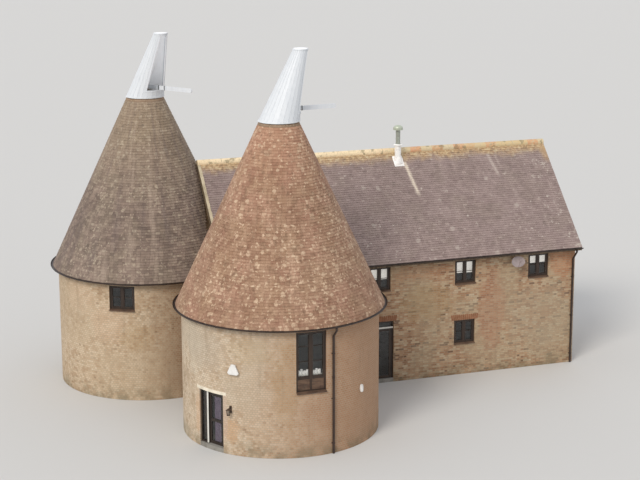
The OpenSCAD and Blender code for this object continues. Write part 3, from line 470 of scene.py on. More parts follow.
def plain(name, tone, roughness=.6, wear=None, grain=.05, depth=.001, **fixed):
    """A finish of one tone with soft patches, a fine grain and an optional worn tone."""
    f = Finish(name, roughness, **fixed)
    place = f.place()
    broad = f.cloud(place, .35, detail=4, rough=.6)
    fine = f.cloud(place, grain, detail=4, rough=.6)
    shade = tuple(max(0, part - 26) for part in tone)
    f.colour = f.blend(f.rise(broad, .35, .7), tone, shade)
    if wear:
        f.coat(f.rise(fine + broad * .5, .82, .95) * .7, wear)
    return f.done(fine, depth)


def timber(name, tone, dark, across=(14, 14, 1.2), roughness=.7, dirt=.25, **fixed):
    """Sawn or painted wood, with its grain along z unless it is told otherwise."""
    f = Finish(name, roughness, **fixed)
    place = f.place()
    x, y, z = f.parts(place)
    grain = f.cloud(f.vector(x * across[0], y * across[1], z * across[2]), 1, detail=5, rough=.6)
    f.colour = f.blend(f.rise(grain, .35, .7), tone, dark)
    grime = f.rise(f.cloud(place, .3, detail=5, rough=.65), .52, .72)
    f.coat(grime * dirt, (92, 88, 76))
    return f.done(grain, .0015)


DARK_TIMBER = timber("stained timber", (58, 42, 30), (38, 27, 19), roughness=.5, dirt=.1)
DOOR_TIMBER = timber("door timber", (48, 36, 28), (32, 25, 20), roughness=.45, dirt=.1)
SILL_TIMBER = timber("sill timber", (108, 84, 66), (76, 56, 44), across=(3, 3, 14))
# The cowls' insides glow a little: painted light that brightens the shaded inside of each mouth
INNER_BOARDS_PAINTED_GLOW = timber("limewashed boards", (250, 251, 252), (246, 247, 248), dirt=0,
                      Emission_Color=(248, 250, 255), Emission_Strength=.12)
WHITE_BOARDS = timber("painted boards", (222, 225, 228), (214, 218, 222), roughness=.5, dirt=.06)
WHITE_JOINERY = timber("painted joinery", (226, 224, 216), (212, 210, 200), roughness=.45, dirt=.1)
OAK = timber("weathered oak", (126, 108, 84), (84, 70, 54))
LEAD = plain("lead sheet", (142, 142, 140), .5, wear=(176, 176, 172), Metallic=.5)
MORTAR = plain("lime mortar", (206, 192, 164), .95, wear=(160, 146, 118), grain=.02, depth=.003)
# Brown mortar for the collars under the cowls: partly weathered mortar, partly painted shade under the cowls'
# rims
WORN_MORTAR_AND_SHADE = plain("weathered mortar", (160, 136, 114), .95, wear=(196, 178, 152), grain=.03, depth=.004)
BROWN_GOODS = plain("brown gutter", (58, 42, 34), .45, wear=(78, 62, 50))
BRONZE = plain("bronzed iron", (70, 52, 40), .5, wear=(110, 88, 66))
STEEL = plain("grey steel", (96, 98, 98), .5, wear=(130, 96, 70), Metallic=.6)
CONCRETE = plain("floated concrete", (150, 146, 138), .95, wear=(120, 114, 102), depth=.002)
BOARDS = timber("floor boards", (160, 126, 88), (120, 90, 60), across=(2, 14, 2))
LINTEL = plain("pale stone", (238, 228, 208), .85, wear=(200, 186, 160), depth=.002)
# A muted tone, darker than the dish's pale paint: partly painted shade from the eave above it
DISH = plain("pale dish", (164, 150, 148), .5, wear=(136, 124, 118))
# The blinds glow a little: painted light that brightens the cloth in the shade of the eaves
BLIND_PAINTED_GLOW = plain("blind cloth", (255, 252, 246), .9, grain=.01, depth=.0005, Emission_Color=(255, 250, 240),
              Emission_Strength=.55)
# The jars glow a little: painted light that brightens them behind the glass
WARE_PAINTED_GLOW = plain("white ware", (250, 248, 242), .3, grain=.01, depth=.0005, Emission_Color=(250, 248, 242),
             Emission_Strength=.30)
CURTAIN = plain("curtain cloth", (126, 110, 130), .9, wear=(150, 136, 156), grain=.02, depth=.001)
WHITE_LEAD = plain("whitened flashing", (255, 252, 248), .7, wear=(226, 216, 206))
CASE = plain("white case", (234, 232, 228), .4, wear=(190, 184, 172))
CLAY_ARCH = plain("red brick arch", (150, 104, 76), .92, wear=(184, 150, 118), grain=.03, depth=.004)


def glass_finish():
    """Double panes that mirror some of the sky over the dark rooms, with dust in soft patches."""
    f = Finish("window glass", roughness=.06, IOR=2.6)
    place = f.place()
    dust = f.cloud(place, .25, detail=4)
    f.set("Base Color", f.blend(dust, (26, 32, 36), (52, 56, 56)))
    away = f.node("ShaderNodeLayerWeight", values={"Blend": .5}, output="Facing")
    f.set("Alpha", .18 + f.math("POWER", away, 4) * .7 + f.rise(dust, .5, .8) * .08)
    return f.material


def ridge_finish():
    """Orange clay ridge tiles, with ochre and grey lichen on every length."""
    f = Finish("ridge clay", roughness=.9)
    place = f.place()
    x = f.parts(place)[0]
    one = f.speckle((x / .46).floor(), 3, 4)[0]
    spots = f.cloud(place, .09, detail=5, rough=.7)
    broad = f.cloud(place, .9, detail=3)
    f.colour = f.ramp(one * .6 + broad * .6 - .1, (0, (216, 152, 116)), (.3, (210, 168, 128)),
                      (.55, (212, 187, 142)), (.8, (212, 196, 165)), (1, (212, 172, 142)))
    # Paler towards the left end of the ridge: painted light against the shade the kilns cast there
    f.coat(f.fall(x, -.4, 1.8) * .88, (248, 226, 188))
    f.coat(f.rise(spots, .50, .60) * .7, (206, 192, 158))
    f.coat(f.rise(f.cloud(place, .2, detail=4), .58, .66) * .6, (126, 116, 88))
    return f.done(spots, .004)


def flue_finish():
    """A white sleeve and storm collar at the roof, a duller pipe above them and a pale cap."""
    f = Finish("flue metal", roughness=.45)
    place = f.place()
    z = f.parts(place)[2]
    streak = f.cloud(place, .12, detail=4)
    bare = f.rise(z, RIDGE_Z + .31, RIDGE_Z + .33)
    cap = f.rise(z, RIDGE_Z + .85, RIDGE_Z + .86)
    f.set("Metallic", bare * .3)
    f.colour = f.blend(bare, (250, 248, 243), (166, 171, 160))
    f.coat(cap, (184, 191, 172))
    f.coat(f.rise(streak, .5, .75) * (.4 - cap * .2), (128, 124, 112))
    return f.done(streak, .001)


GLASS = glass_finish()
RIDGE = ridge_finish()
FLUE = flue_finish()

CAD_FINISHES = {
    "brick_barn": BARN_BRICK, "brick_kiln_a": KILN_A_BRICK, "brick_kiln_b": KILN_B_BRICK,
    "tile_barn": OAK, "tile_kiln_a": OAK, "tile_kiln_b": OAK, "ridge_tile": RIDGE, "concrete": CONCRETE,
    "floor_boards": BOARDS, "lintel_stone": LINTEL, "brown_goods": BROWN_GOODS, "dark_timber": DARK_TIMBER,
    "white_timber": WHITE_BOARDS, "oak": OAK, "steel": STEEL, "flue_metal": FLUE, "dish_metal": DISH,
    "white_case": CASE, "window_glass": GLASS,
}
# Nodes whose finish isn't that of their slot
NODE_FINISHES = {
    "cowl_a_shell": INNER_BOARDS_PAINTED_GLOW, "cowl_b_shell": INNER_BOARDS_PAINTED_GLOW, "kiln_b_door_frame": DOOR_TIMBER,
    "kiln_door_leaf": DOOR_TIMBER, "window_sills": SILL_TIMBER,
}


def dress_cad():
    """Gives every solid of the frame its finish."""
    for part in frame["record"]["subparts"]:
        materials = nodes[part["node"]].data.materials
        materials.clear()
        materials.append(NODE_FINISHES.get(part["node"], CAD_FINISHES[part["material_slot"]]))


# Shapes, each as its points and its faces
BLOCK_FACES = ((0, 3, 2, 1), (4, 5, 6, 7), (0, 1, 5, 4), (1, 2, 6, 5), (2, 3, 7, 6), (3, 0, 4, 7))


def join(shapes):
    points = []
    faces = []
    for more_points, more_faces in shapes:
        faces += [[i + len(points) for i in face] for face in more_faces]
        points += [tuple(point) for point in more_points]
    return points, faces


def add(name, data):
    """Puts an object with its data into the scene."""
    made = bpy.data.objects.new(name, data)
    bpy.context.scene.collection.objects.link(made)
    return made


def piece(name, shapes, finish, body="root", bevel=0, tones=None, smooth=False):
    """Makes one closed object of shapes, with its faces turned outwards, which rides on a body."""
    points, faces = join(shapes)
    mesh = bpy.data.meshes.new(name)
    mesh.from_pydata(points, [], faces)
    shape = bmesh.new()
    shape.from_mesh(mesh)
    loose = [point for point in shape.verts if not point.link_faces]
    bmesh.ops.delete(shape, geom=loose, context="VERTS")
    bmesh.ops.holes_fill(shape, edges=[edge for edge in shape.edges if edge.is_boundary])
    bmesh.ops.recalc_face_normals(shape, faces=shape.faces)
    if bevel:
        bmesh.ops.bevel(shape, geom=shape.edges, offset=bevel, segments=1, affect="EDGES")
    shape.to_mesh(mesh)
    shape.free()
    if tones is not None:
        mesh.attributes.new("tone", "FLOAT", "POINT").data.foreach_set("value", tones)
    if smooth:
        mesh.shade_smooth()
    mesh.materials.append(finish)
    made = add(name, mesh)
    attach(made, body)
    return made


def strip(rings, closed=False):
    """A bar that runs through rings of corners, with flat ends or back into itself."""
    count = len(rings)
    side = len(rings[0])
    faces = []
    for i in range(count if closed else count - 1):
        here = i * side
        there = (i + 1) % count * side
        faces += [[here + j, here + (j + 1) % side, there + (j + 1) % side, there + j] for j in range(side)]
    if not closed:
        last = (count - 1) * side
        faces += [list(range(side))[::-1], list(range(last, last + side))]
    return [point for ring in rings for point in ring], faces


def square(xs, ys):
    """Four corners between two distances each way."""
    return [(xs[0], ys[0]), (xs[1], ys[0]), (xs[1], ys[1]), (xs[0], ys[1])]


def lathe(profile, centre, steps=48, start=0, turn=360):
    """A ring turned from a profile of (radius, height) pairs about an upright axis."""
    whole = turn == 360
    angles = np.radians(start + turn * np.arange(steps if whole else steps + 1) / steps)
    rings = [[(centre[0] + r * math.cos(a), centre[1] + r * math.sin(a), centre[2] + z) for r, z in profile]
             for a in angles]
    return strip(rings, closed=whole)


def sleeve(radius, thick, height, centre, *turning):
    """A band round an upright axis, with its foot at the centre's height."""
    return lathe(square((radius, radius + thick), (0, height)), centre, *turning)


def rod(ends, right, up, radius, steps):
    """A round bar between two ends, with two directions across it."""
    angles = np.arange(steps) * 2 * math.pi / steps
    return strip([[end + (right * math.cos(a) + up * math.sin(a)) * radius for a in angles] for end in ends])


def prism(polygon, thickness):
    """A flat polygon raised along its own normal."""
    normal = (polygon[1] - polygon[0]).cross(polygon[2] - polygon[1]).normalized()
    return strip([polygon, [corner + normal * thickness for corner in polygon]])


def block(xs, ys, zs, at=lambda *spot: spot):
    """A block between two distances each way, which a function may put elsewhere."""
    return [at(x, y, z) for z in zs for x, y in square(xs, ys)], BLOCK_FACES


class Place:
    """A flat spot on a wall: across it to the right, out of it, and up."""

    def __init__(self, origin, out):
        self.origin = Vector(origin)
        self.out = Vector(out)
        self.across = UP.cross(self.out)

    def at(self, across, out, up):
        return self.origin + self.across * across + self.out * out + UP * up

    def block(self, across, out, up):
        return block(across, out, up, self.at)


def ray(turn):
    """The level direction at an angle in degrees."""
    angle = math.radians(turn)
    return Vector((math.cos(angle), math.sin(angle), 0))


def on_kiln(axis, turn, radius=KILN_R):
    return Place(axis + ray(turn) * radius, ray(turn))


def on_barn(side, x, depth=REVEAL):
    """A spot at some depth in the barn's front (-1) or back wall (1)."""
    return Place((x, side * (WALL_Y - depth), 0), (0, side, 0))


IN_GABLE = Place((WALL_X - REVEAL, 0, 0), (1, 0, 0))
IN_KILN_DOOR = on_kiln(KILN_B, KILN_DOOR_TURN, KILN_R - DOOR_SETBACK)
IN_TALL_WINDOW = on_kiln(KILN_B, TALL_WIN["turn"], KILN_R - KILN_REVEAL)


# Roof tiles
TILE_W = .165
GAUGE = .100
TILE_L = .122
TILE_T = .013
TAIL_LIFT = .014
FIRST_UP = -.025
EDGE_X = VERGE_X - .002


def cone_surface(axis):
    """A point on a kiln roof: round it by an angle, up its slope, and out of it."""
    def at(turn, up, out):
        radius = CONE_R - up * math.cos(CONE_PITCH) + out * math.sin(CONE_PITCH)
        z = CONE_FOOT + up * math.sin(CONE_PITCH) + out * math.cos(CONE_PITCH)
        return np.stack([axis.x + radius * np.cos(turn), axis.y + radius * np.sin(turn), z + 0 * turn], -1)
    return at


def slope_surface(side):
    """A point on a slope of the barn roof: along the ridge, up the slope, and out of it."""
    def at(x, up, out):
        y = side * (EAVE_Y - up * math.cos(BARN_PITCH) + out * math.sin(BARN_PITCH))
        z = EAVE_Z + up * math.sin(BARN_PITCH) + out * math.cos(BARN_PITCH)
        return np.stack([x, y + 0 * x, z + 0 * x], -1)
    return at


def course(surface, edges, up, joint):
    """Eight corners of each tile of one course, with small differences in how each lies."""
    starts = edges[:-1] + joint
    ends = edges[1:] - joint
    slip = chance.normal(0, .0025, len(starts))
    lift = TAIL_LIFT + chance.uniform(0, .004, len(starts))
    rock = chance.normal(0, .0012, len(starts))
    rows = []
    for thick in (0, TILE_T):
        rows.append(surface(starts, up + slip, lift - rock + thick))
        rows.append(surface(ends, up + slip, lift + rock + thick))
        rows.append(surface(ends, up + TILE_L, thick + 0 * lift))
        rows.append(surface(starts, up + TILE_L, thick + 0 * lift))
    return np.stack(rows, 1)


def cone_radius(z):
    return CONE_R - (z - CONE_FOOT) / math.tan(CONE_PITCH)


def in_cones(points, margin):
    """Which points lie deeper than a margin in the roof of a kiln."""
    x, y, z = np.array(points).T
    reach = np.minimum(*(np.hypot(x - axis.x, y - axis.y) for axis in (KILN_A, KILN_B)))
    return (reach < cone_radius(z) - margin) & (z > KILN_EAVE)


def outside_cones(shape, margin):
    """A shape without the faces that reach into the roof of a kiln."""
    points, faces = shape
    inside = in_cones(points, margin)
    return points, [face for face in faces if not inside[face].any()]


def under_barn_roof(points, margin):
    x, y, z = points.T
    return (x > -VERGE_X) & (abs(y) < EAVE_Y) & (z < RIDGE_Z - abs(y) * math.tan(BARN_PITCH) - margin)


def tile_roof(name, courses, hidden, finish):
    """One object of all tiles but the hidden ones, each with a tone of its own."""
    tiles = np.concatenate(courses)
    tiles = tiles[~hidden(tiles.mean(1), .10)]
    tones = np.repeat(chance.random(len(tiles)), 8)
    piece(name, [(tile, BLOCK_FACES) for tile in tiles.tolist()], finish, tones=tones)


def tile_kiln(kiln, axis, finish):
    courses = []
    for row in range(int((CONE_SLOPE - .02) / GAUGE)):
        up = row * GAUGE + FIRST_UP
        radius = CONE_R - up * math.cos(CONE_PITCH)
        count = round(2 * math.pi * radius / TILE_W)
        edges = 2 * math.pi * (np.arange(count + 1) + row % 2 / 2 + .13 * chance.random()) / count
        courses.append(course(cone_surface(axis), edges, up, .0015 / radius))
    tile_roof(f"kiln_{kiln}_tiles", courses, under_barn_roof, finish)


def tile_slope(name, side):
    courses = []
    for row in range(int((BARN_SLOPE - .02) / GAUGE)):
        edges = np.arange(-EDGE_X - row % 2 * TILE_W / 2, VERGE_X + TILE_W, TILE_W)
        edges = np.unique(np.clip(edges, -EDGE_X, EDGE_X))
        courses.append(course(slope_surface(side), edges, row * GAUGE + FIRST_UP, .0012))
    tile_roof(name, courses, in_cones, BARN_TILE)


# Mortar and lead on the roofs
RIDGE_R = .130
RIDGE_BED = .026
RIDGE_LENGTH = .45


def ridge_bedding():
    """Mortar along both sides of the ridge tiles, and pointed into their joints."""
    shapes = []
    stations = np.linspace(-VERGE_X + .01, VERGE_X - .01, 60)
    profile = ((-.045, .055), (.012, .012), (-.02, -.01), (-.06, .02))
    for side in (-1, 1):
        reach = RIDGE_R * .98 + chance.uniform(0, .014, len(stations))
        drop = RIDGE_Z - reach * math.tan(BARN_PITCH)
        rings = [[(x, side * (r + out), z + up) for out, up in profile]
                 for x, r, z in zip(stations, reach, drop)]
        shapes.append(outside_cones(strip(rings), .05))
    joint = [(dx, RIDGE_R + dr) for dx, dr in ((-.012, -.004), (-.006, .004), (.006, .004), (.012, -.004))]
    lengths = math.floor(2 * VERGE_X / RIDGE_LENGTH)
    for x in np.linspace(-VERGE_X, VERGE_X, lengths + 1)[1:-1]:
        if not in_cones([(x, 0, RIDGE_Z)], 0)[0]:
            rings = [[(x + dx, r * math.sin(a), RIDGE_Z - RIDGE_BED + r * math.cos(a)) for dx, r in joint]
                     for a in np.radians(np.linspace(-75, 75, 13))]
            shapes.append(strip(rings))
    piece("ridge_mortar", shapes, MORTAR)


def slope_ring(side, up, corners):
    """Corners of a bar on a slope, each from its place along the ridge and its height over the slope."""
    return [slope_surface(side)(x, up, out) for x, out in corners]


def verges():
    """Mortar under the tiles' edges along both gables, and over them beside the rear kiln."""
    shapes = []
    for end, side in ((-1, -1), (-1, 1), (1, -1), (1, 1)):
        x0 = end * (VERGE_X - .001)
        x1 = end * (VERGE_X - .050)
        rings = []
        for up in np.linspace(0, BARN_SLOPE - .05, 40):
            foot = -.045 + chance.uniform(-.004, .004)
            rings.append(slope_ring(side, up, ((x0, foot), (x0, .012), (x1, .012), (x1, foot))))
        shapes.append(outside_cones(strip(rings), .02))
    rings = []
    x0 = -VERGE_X + .001
    for up in np.linspace(1.2, BARN_SLOPE - .08, 40):
        x1 = -VERGE_X + .11 + chance.uniform(-.012, .012)
        rings.append(slope_ring(-1, up, ((x0, -.02), (x0, .042), (x1, .037), (x1, -.01))))
    shapes.append(outside_cones(strip(rings), .02))
    piece("verge_mortar", shapes, MORTAR)


def meeting(name, finish, axis, side, turns, reach, lift):
    """A fillet where a kiln roof meets a slope, between two directions from the kiln's axis."""
    rings = []
    rise = side * math.tan(BARN_PITCH)
    fall = 1 / math.tan(CONE_PITCH)
    for turn in np.arange(*turns, 1.5):
        out = ray(turn)
        level = RIDGE_Z - rise * (axis.y + (CONE_R + CONE_FOOT * fall) * out.y)
        z = level / (1 - rise * fall * out.y)
        spot = axis + out * cone_radius(z) + UP * z
        if abs(spot.x) > VERGE_X - .02 or not .02 < side * spot.y < EAVE_Y - .01:
            continue
        high = reach + chance.uniform(0, .008)
        rings.append([spot - out * .02 - UP * .03, spot - out * (.012 + high * .42) + UP * high,
                      spot + out * high + UP * lift, spot + out * high - UP * .03])
    piece(name, [strip(rings)], finish)


def cone_collars():
    """Mortar run over the top course of tiles, under each cowl."""
    profile = [(CONE_TOP_R + out, up) for out, up in
               ((-.06, -.002), (-.03, .012), (.02, .004), (.062, -.075), (.052, -.085), (-.02, -.02))]
    shapes = [lathe(profile, axis + UP * CONE_TOP, 56) for axis in (KILN_A, KILN_B)]
    piece("cone_collars", shapes, WORN_MORTAR_AND_SHADE, smooth=True)


# Cowls
COWL_R = .690
COWL_TOP_R = .235
COWL_H = 2.400
COWL_LEAN = .830
COWL_BOARDS = 24
BOARD_TURN = 2 * math.pi / COWL_BOARDS
BOARD_RAISE = .012
MOUTH_FOOT = .290
MOUTH_TOP = COWL_H - .090
MOUTH_LOW = .72 * COWL_R
MOUTH_HIGH = COWL_LEAN + .6 * COWL_TOP_R


def cowl_radius(z):
    return COWL_R + (COWL_TOP_R - COWL_R) * z / COWL_H


def cowl_point(turn, z, out=0):
    """A point on a cowl's flat boards, before the cowl is turned to its place."""
    flat = math.cos(BOARD_TURN / 2) / math.cos(turn % BOARD_TURN - BOARD_TURN / 2)
    radius = cowl_radius(z) * flat + out
    return Vector((COWL_LEAN * z / COWL_H + radius * math.cos(turn), radius * math.sin(turn), z))


def mouth_plane(z):
    """How far from the cowl's axis the mouth's face stands at a height."""
    return MOUTH_LOW + (MOUTH_HIGH - MOUTH_LOW) * (z - MOUTH_FOOT) / (MOUTH_TOP - MOUTH_FOOT)


def mouth_turn(z):
    """The angle from the middle of the mouth to its edge at a height."""
    return math.acos(max(-1, min(1, (mouth_plane(z) - COWL_LEAN * z / COWL_H) / cowl_radius(z))))


def clip(polygon, inside):
    """The part of a flat polygon where a linear function is positive."""
    kept = []
    for a, b in zip(polygon, polygon[1:] + polygon[:1]):
        at_a = inside(a)
        at_b = inside(b)
        if at_a >= 0:
            kept.append(a)
        if at_a * at_b < 0:
            kept.append(a.lerp(b, at_a / (at_a - at_b)))
    return kept


def shortened(first, second, gap):
    """The two ends of a line, each drawn in by a gap."""
    share = gap / (second - first).length
    return [first.lerp(second, share), second.lerp(first, share)]


def cowl_boards():
    """Tapered boards round the cowl with a gap between them, cut back at the mouth."""
    shapes = []
    for i in range(COWL_BOARDS):
        # A board ends a hair before the next one starts, so that both its edges lie on its own flat
        turns = (i * BOARD_TURN, (i + 1) * BOARD_TURN - 1e-6)
        low = [cowl_point(turn, .002) for turn in turns]
        high = [cowl_point(turn, COWL_H - .010) for turn in turns]
        board = shortened(*low, .003) + shortened(*high, .002)[::-1]
        below = clip(board, lambda p: MOUTH_FOOT - p.z)
        above = clip(board, lambda p: p.z - MOUTH_TOP)
        between = clip(clip(board, lambda p: p.z - MOUTH_FOOT), lambda p: MOUTH_TOP - p.z)
        parts = [board]
        if len(clip(between, lambda p: p.x - mouth_plane(p.z))) > 2:
            parts = [below, clip(between, lambda p: mouth_plane(p.z) - p.x), above]
        shapes += [prism(part, BOARD_RAISE) for part in parts if len(part) > 2]
    return shapes


def band(turns, z, height, start, reach, closed=False):
    """A flat band on a cowl through the given angles, from a height up and between two distances out."""
    profile = square((start, reach), (0, height))
    return strip([[cowl_point(turn, z + up, out) for out, up in profile] for turn in turns], closed)


def mouth_trim():
    """Painted boards round the edges of the mouth."""
    shapes = []
    back = Vector((-1, 0, -.1)) * .055
    for side in (-1, 1):
        rings = []
        for z in np.linspace(MOUTH_FOOT, MOUTH_TOP, 14):
            turn = side * mouth_turn(z)
            out = Vector((math.cos(turn), math.sin(turn), .15)).normalized()
            inner = cowl_point(turn, z) - out * .028
            outer = cowl_point(turn, z) + out * .026
            rings.append([inner, outer, outer + back, inner + back])
        shapes.append(strip(rings))
    for z, height, reach in ((MOUTH_FOOT - .045, .050, .022), (MOUTH_TOP - .004, .040, .020)):
        edge = mouth_turn(z) + .06
        shapes.append(band(np.linspace(-edge, edge, 18), z, height, -.025, reach))
    return shapes


def cowl_rims():
    """A band round the boards at the foot and another at the top."""
    turns = np.arange(2 * COWL_BOARDS) * BOARD_TURN / 2
    return [band(turns, z, height, 0, reach, closed=True)
            for z, height, reach in ((.004, .055, .030), (COWL_H - .046, .045, .028))]


def vane_straps():
    """Iron straps that clasp the vane board at the cowl's edge and near its tip."""
    height = (MOUTH_FOOT - .006, MOUTH_FOOT + .156)
    return [block((x - .02, x + .02), (.054, .106), height) for x in (.62, .90)]


def turned(shapes, axis, turn):
    """Moves shapes made about a cowl's own axis to their place on a kiln."""
    angle = math.radians(turn)
    cos = math.cos(angle)
    sin = math.sin(angle)
    return [([(axis.x + x * cos - y * sin, axis.y + x * sin + y * cos, COWL_FOOT + z)
              for x, y, z in points], faces) for points, faces in shapes]


def dress_cowl(kiln, axis, turn):
    painted = {"boards": cowl_boards(), "trim": mouth_trim(), "rims": cowl_rims()}
    body = f"cowl_{kiln}"
    for name, shapes in painted.items():
        piece(f"cowl_{kiln}_{name}", turned(shapes, axis, turn), WHITE_BOARDS, body)
    piece(f"cowl_{kiln}_straps", turned(vane_straps(), axis, turn), STEEL, body)


# Joinery
SASH = .045
SASH_DEPTH = (-.056, -.006)
BAR_W = .022
BAR_DEPTH = (-.034, -.014)
TALL_RAIL = TALL_WIN["z0"] + TALL_WIN["panel"]


def casement(place, w, z0, z1, bars):
    """Two sashes in a frame, each with its own rim and glazing bars at the given shares of its height."""
    blocks = []
    low = z0 + FRAME_BAR
    high = z1 - FRAME_BAR
    for left, right in ((-w / 2 + FRAME_BAR, -FRAME_BAR / 2), (FRAME_BAR / 2, w / 2 - FRAME_BAR)):
        light = (left + SASH, right - SASH)
        blocks += [place.block(across, SASH_DEPTH, up) for across, up in
                   (((left, light[0]), (low, high)), ((light[1], right), (low, high)),
                    (light, (low, low + SASH)), (light, (high - SASH, high)))]
        for share in bars:
            z = low + share * (high - low)
            blocks.append(place.block(light, BAR_DEPTH, (z - BAR_W / 2, z + BAR_W / 2)))
    return blocks


def windows():
    """Every barn window as (place, sill height)."""
    found = [(on_barn(side, x), UPPER_SILL) for side in (-1, 1) for x in WIN_XS]
    found += [(on_barn(side, x), GROUND_SILL) for side, x in GROUND_WINDOWS]
    return found + [(IN_GABLE, UPPER_SILL), (IN_GABLE, GROUND_SILL)]


def sashes():
    blocks = []
    for place, sill in windows():
        blocks += casement(place, WIN_W, sill, sill + WIN_H, (.5,))
    place = on_kiln(KILN_A, KILN_WIN["turn"], KILN_R - KILN_REVEAL)
    blocks += casement(place, KILN_WIN["w"], KILN_WIN["z0"], KILN_WIN["z1"], (.5,))
    blocks += casement(IN_TALL_WINDOW, TALL_WIN["w"], TALL_RAIL - FRAME_BAR / 2, TALL_WIN["z1"], (.36, .70))
    piece("window_sashes", blocks, DARK_TIMBER, bevel=.003)


def tall_window():
    """The boards under the tall window, and a shelf with jars behind its panes."""
    place = IN_TALL_WINDOW
    height = (TALL_WIN["z0"] + FRAME_BAR, TALL_RAIL - FRAME_BAR / 2)
    starts = np.linspace(-.46, .46, 9)[:-1]
    panel = [place.block((start + .001, start + .114), (-.040, -.018), height) for start in starts]
    piece("tall_window_panel", panel, SILL_TIMBER, bevel=.003)
    top = TALL_RAIL + .07
    shelf = place.block((-.44, .44), (-.30, -.10), (top - .03, top))
    piece("tall_window_shelf", [shelf], WHITE_JOINERY, bevel=.004)
    # Each jar's place along the shelf, radius and height
    jars = ((-.36, .060, .15), (-.26, .050, .19), (-.16, .055, .13), (-.07, .045, .16), (.08, .060, .15),
            (.18, .045, .12), (.26, .050, .17), (.36, .055, .14))
    # A jar's outline, in shares of its radius and height
    outline = ((.7, 0), (1, .45), (.75, .8), (.82, 1), (.72, 1), (.6, .8))
    shapes = []
    for across, r, high in jars:
        profile = [(.001, 0), *((r * out, high * up) for out, up in outline), (.001, high * .3)]
        shapes.append(lathe(profile, place.at(across, -.19, top), 20))
    piece("tall_window_jars", shapes, WARE_PAINTED_GLOW, smooth=True)


def door_boards():
    """A face on the lintel that reaches over its bearings, and white boards on a post and on the transom."""
    low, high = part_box("kiln_b_lintel")
    half = math.degrees(math.asin(KILN_DOOR_W / 2 / KILN_R)) + 2.2
    centre = KILN_B + UP * low.z
    face = sleeve(KILN_R - .020, .024, high.z - low.z, centre, 16, KILN_DOOR_TURN - half, 2 * half)
    piece("kiln_door_lintel_face", [face], LINTEL)
    post = IN_KILN_DOOR.block((-.262, -.188), (.0005, .010), (.162, 2.000))
    piece("kiln_door_mullion_cover", [post], WHITE_JOINERY, bevel=.003)
    reach = DOOR_W / 2 - .002
    board = on_barn(-1, DOOR_X).block((-reach, reach), (.0005, .012), (TRANSOM_Z - .032, TRANSOM_Z + .032))
    piece("barn_door_transom_board", [board], WHITE_JOINERY, bevel=.003)


def blinds():
    """Pale roller blinds let half down behind the upper lights, each with its roll and its bottom bar."""
    shapes = []
    for place, sill in windows():
        if sill < UPPER_SILL:
            continue
        top = sill + WIN_H - FRAME_BAR
        drop = .30 if place.origin.x > WIN_XS[1] + 1 else .42
        for light in ((-.355, -.045), (.045, .355)):
            foot = top - drop - chance.uniform(0, .06)
            shapes += [place.block(light, (-.098, -.096), (foot, top - .05)),
                       place.block(light, (-.104, -.092), (foot - .018, foot)),
                       rod([place.at(a, -.121, top - .03) for a in light], place.out, UP, .024, 12)]
    piece("window_blinds", shapes, BLIND_PAINTED_GLOW)


def door_curtain():
    """A gathered cloth behind both lights of the kiln's door, which swings with the leaf."""
    shapes = []
    for light in ((.262, .950), (1.050, 1.842)):
        rings = []
        for i, across in enumerate(np.linspace(.02, .31, 49)):
            out = -.0855 + .0022 * math.sin(i * .85) + .0008 * math.sin(i * 2.3)
            rings.append([IN_KILN_DOOR.at(across, out + half, up)
                          for half, up in square((-.0005, .0005), light)])
        shapes.append(strip(rings))
    piece("kiln_door_curtain", shapes, CURTAIN, "kiln_door")


def arches():
    """Bricks on end, fanned out, over the barn's ground floor openings and both windows of the gable."""
    shapes = []
    openings = [(on_barn(side, x), WIN_W, GROUND_SILL + WIN_H) for side, x in GROUND_WINDOWS]
    openings.insert(1, (on_barn(-1, DOOR_X), DOOR_W, DOOR_H))
    openings += [(IN_GABLE, WIN_W, sill + WIN_H) for sill in (GROUND_SILL, UPPER_SILL)]
    for place, w, head in openings:
        count = round((w + 2 * HEADER) / COURSE)
        pitch = (w + 2 * HEADER) / count
        for i in range(count):
            left = -w / 2 - HEADER + i * pitch
            depth = (REVEAL - .02, REVEAL + .004 + chance.uniform(0, .002))
            points, faces = place.block((left + .005, left + pitch - .005), depth, (head + .002, head + .215))
            lean = place.across * ((left + pitch / 2) / w * .05)
            shapes.append((points[:4] + [point + lean for point in points[4:]], faces))
    piece("window_arches", shapes, CLAY_ARCH, bevel=.003)


# Rainwater goods
def bracket(centre, along):
    """A half band under a gutter that runs along a direction."""
    rings = []
    for a in np.radians(np.linspace(180, 360, 13)):
        out = UP.cross(along) * math.cos(a) + UP * math.sin(a)
        rings.append([centre + out * (GUTTER_R + thick) + along * half
                      for thick, half in square((0, .004), (-.015, .015))])
    return strip(rings)


def gutter_brackets():
    shapes = []
    for side, kiln in ((-1, KILN_B), (1, KILN_A)):
        y = side * (EAVE_Y + GUTTER_R)
        for x in np.arange(-6.8, VERGE_X, .9):
            if math.hypot(x - kiln.x, y - kiln.y) > CONE_R + 3 * GUTTER_R:
                shapes.append(bracket(Vector((x, y, EAVE_Z)), ray(0)))
    for axis in (KILN_A, KILN_B):
        for turn in np.arange(7.5, 360, 15):
            centre = axis + ray(turn) * (CONE_R + GUTTER_R) + UP * CONE_FOOT
            if abs(centre.y) > WALL_Y + .1 or centre.x < -WALL_X - .1:
                shapes.append(bracket(centre, ray(turn + 90)))
    piece("gutter_brackets", shapes, BROWN_GOODS)


def pipe_clips():
    shapes = []
    corners = [on_barn(side, WALL_X - .1, depth=0) for side in (-1, 1)]
    for place in (*corners, on_kiln(KILN_B, PIPE_B_TURN), on_kiln(KILN_A, PIPE_A_TURN)):
        for z in (.35, 1.9, 3.45):
            shapes += [sleeve(PIPE_R, .009, .03, place.at(0, PIPE_R, z), 24),
                       place.block((-.065, .065), (.001, .012), (z, z + .03))]
        shapes.append(sleeve(PIPE_R, .007, .09, place.at(0, PIPE_R, 2.6), 24))
    piece("pipe_clips", shapes, BROWN_GOODS)


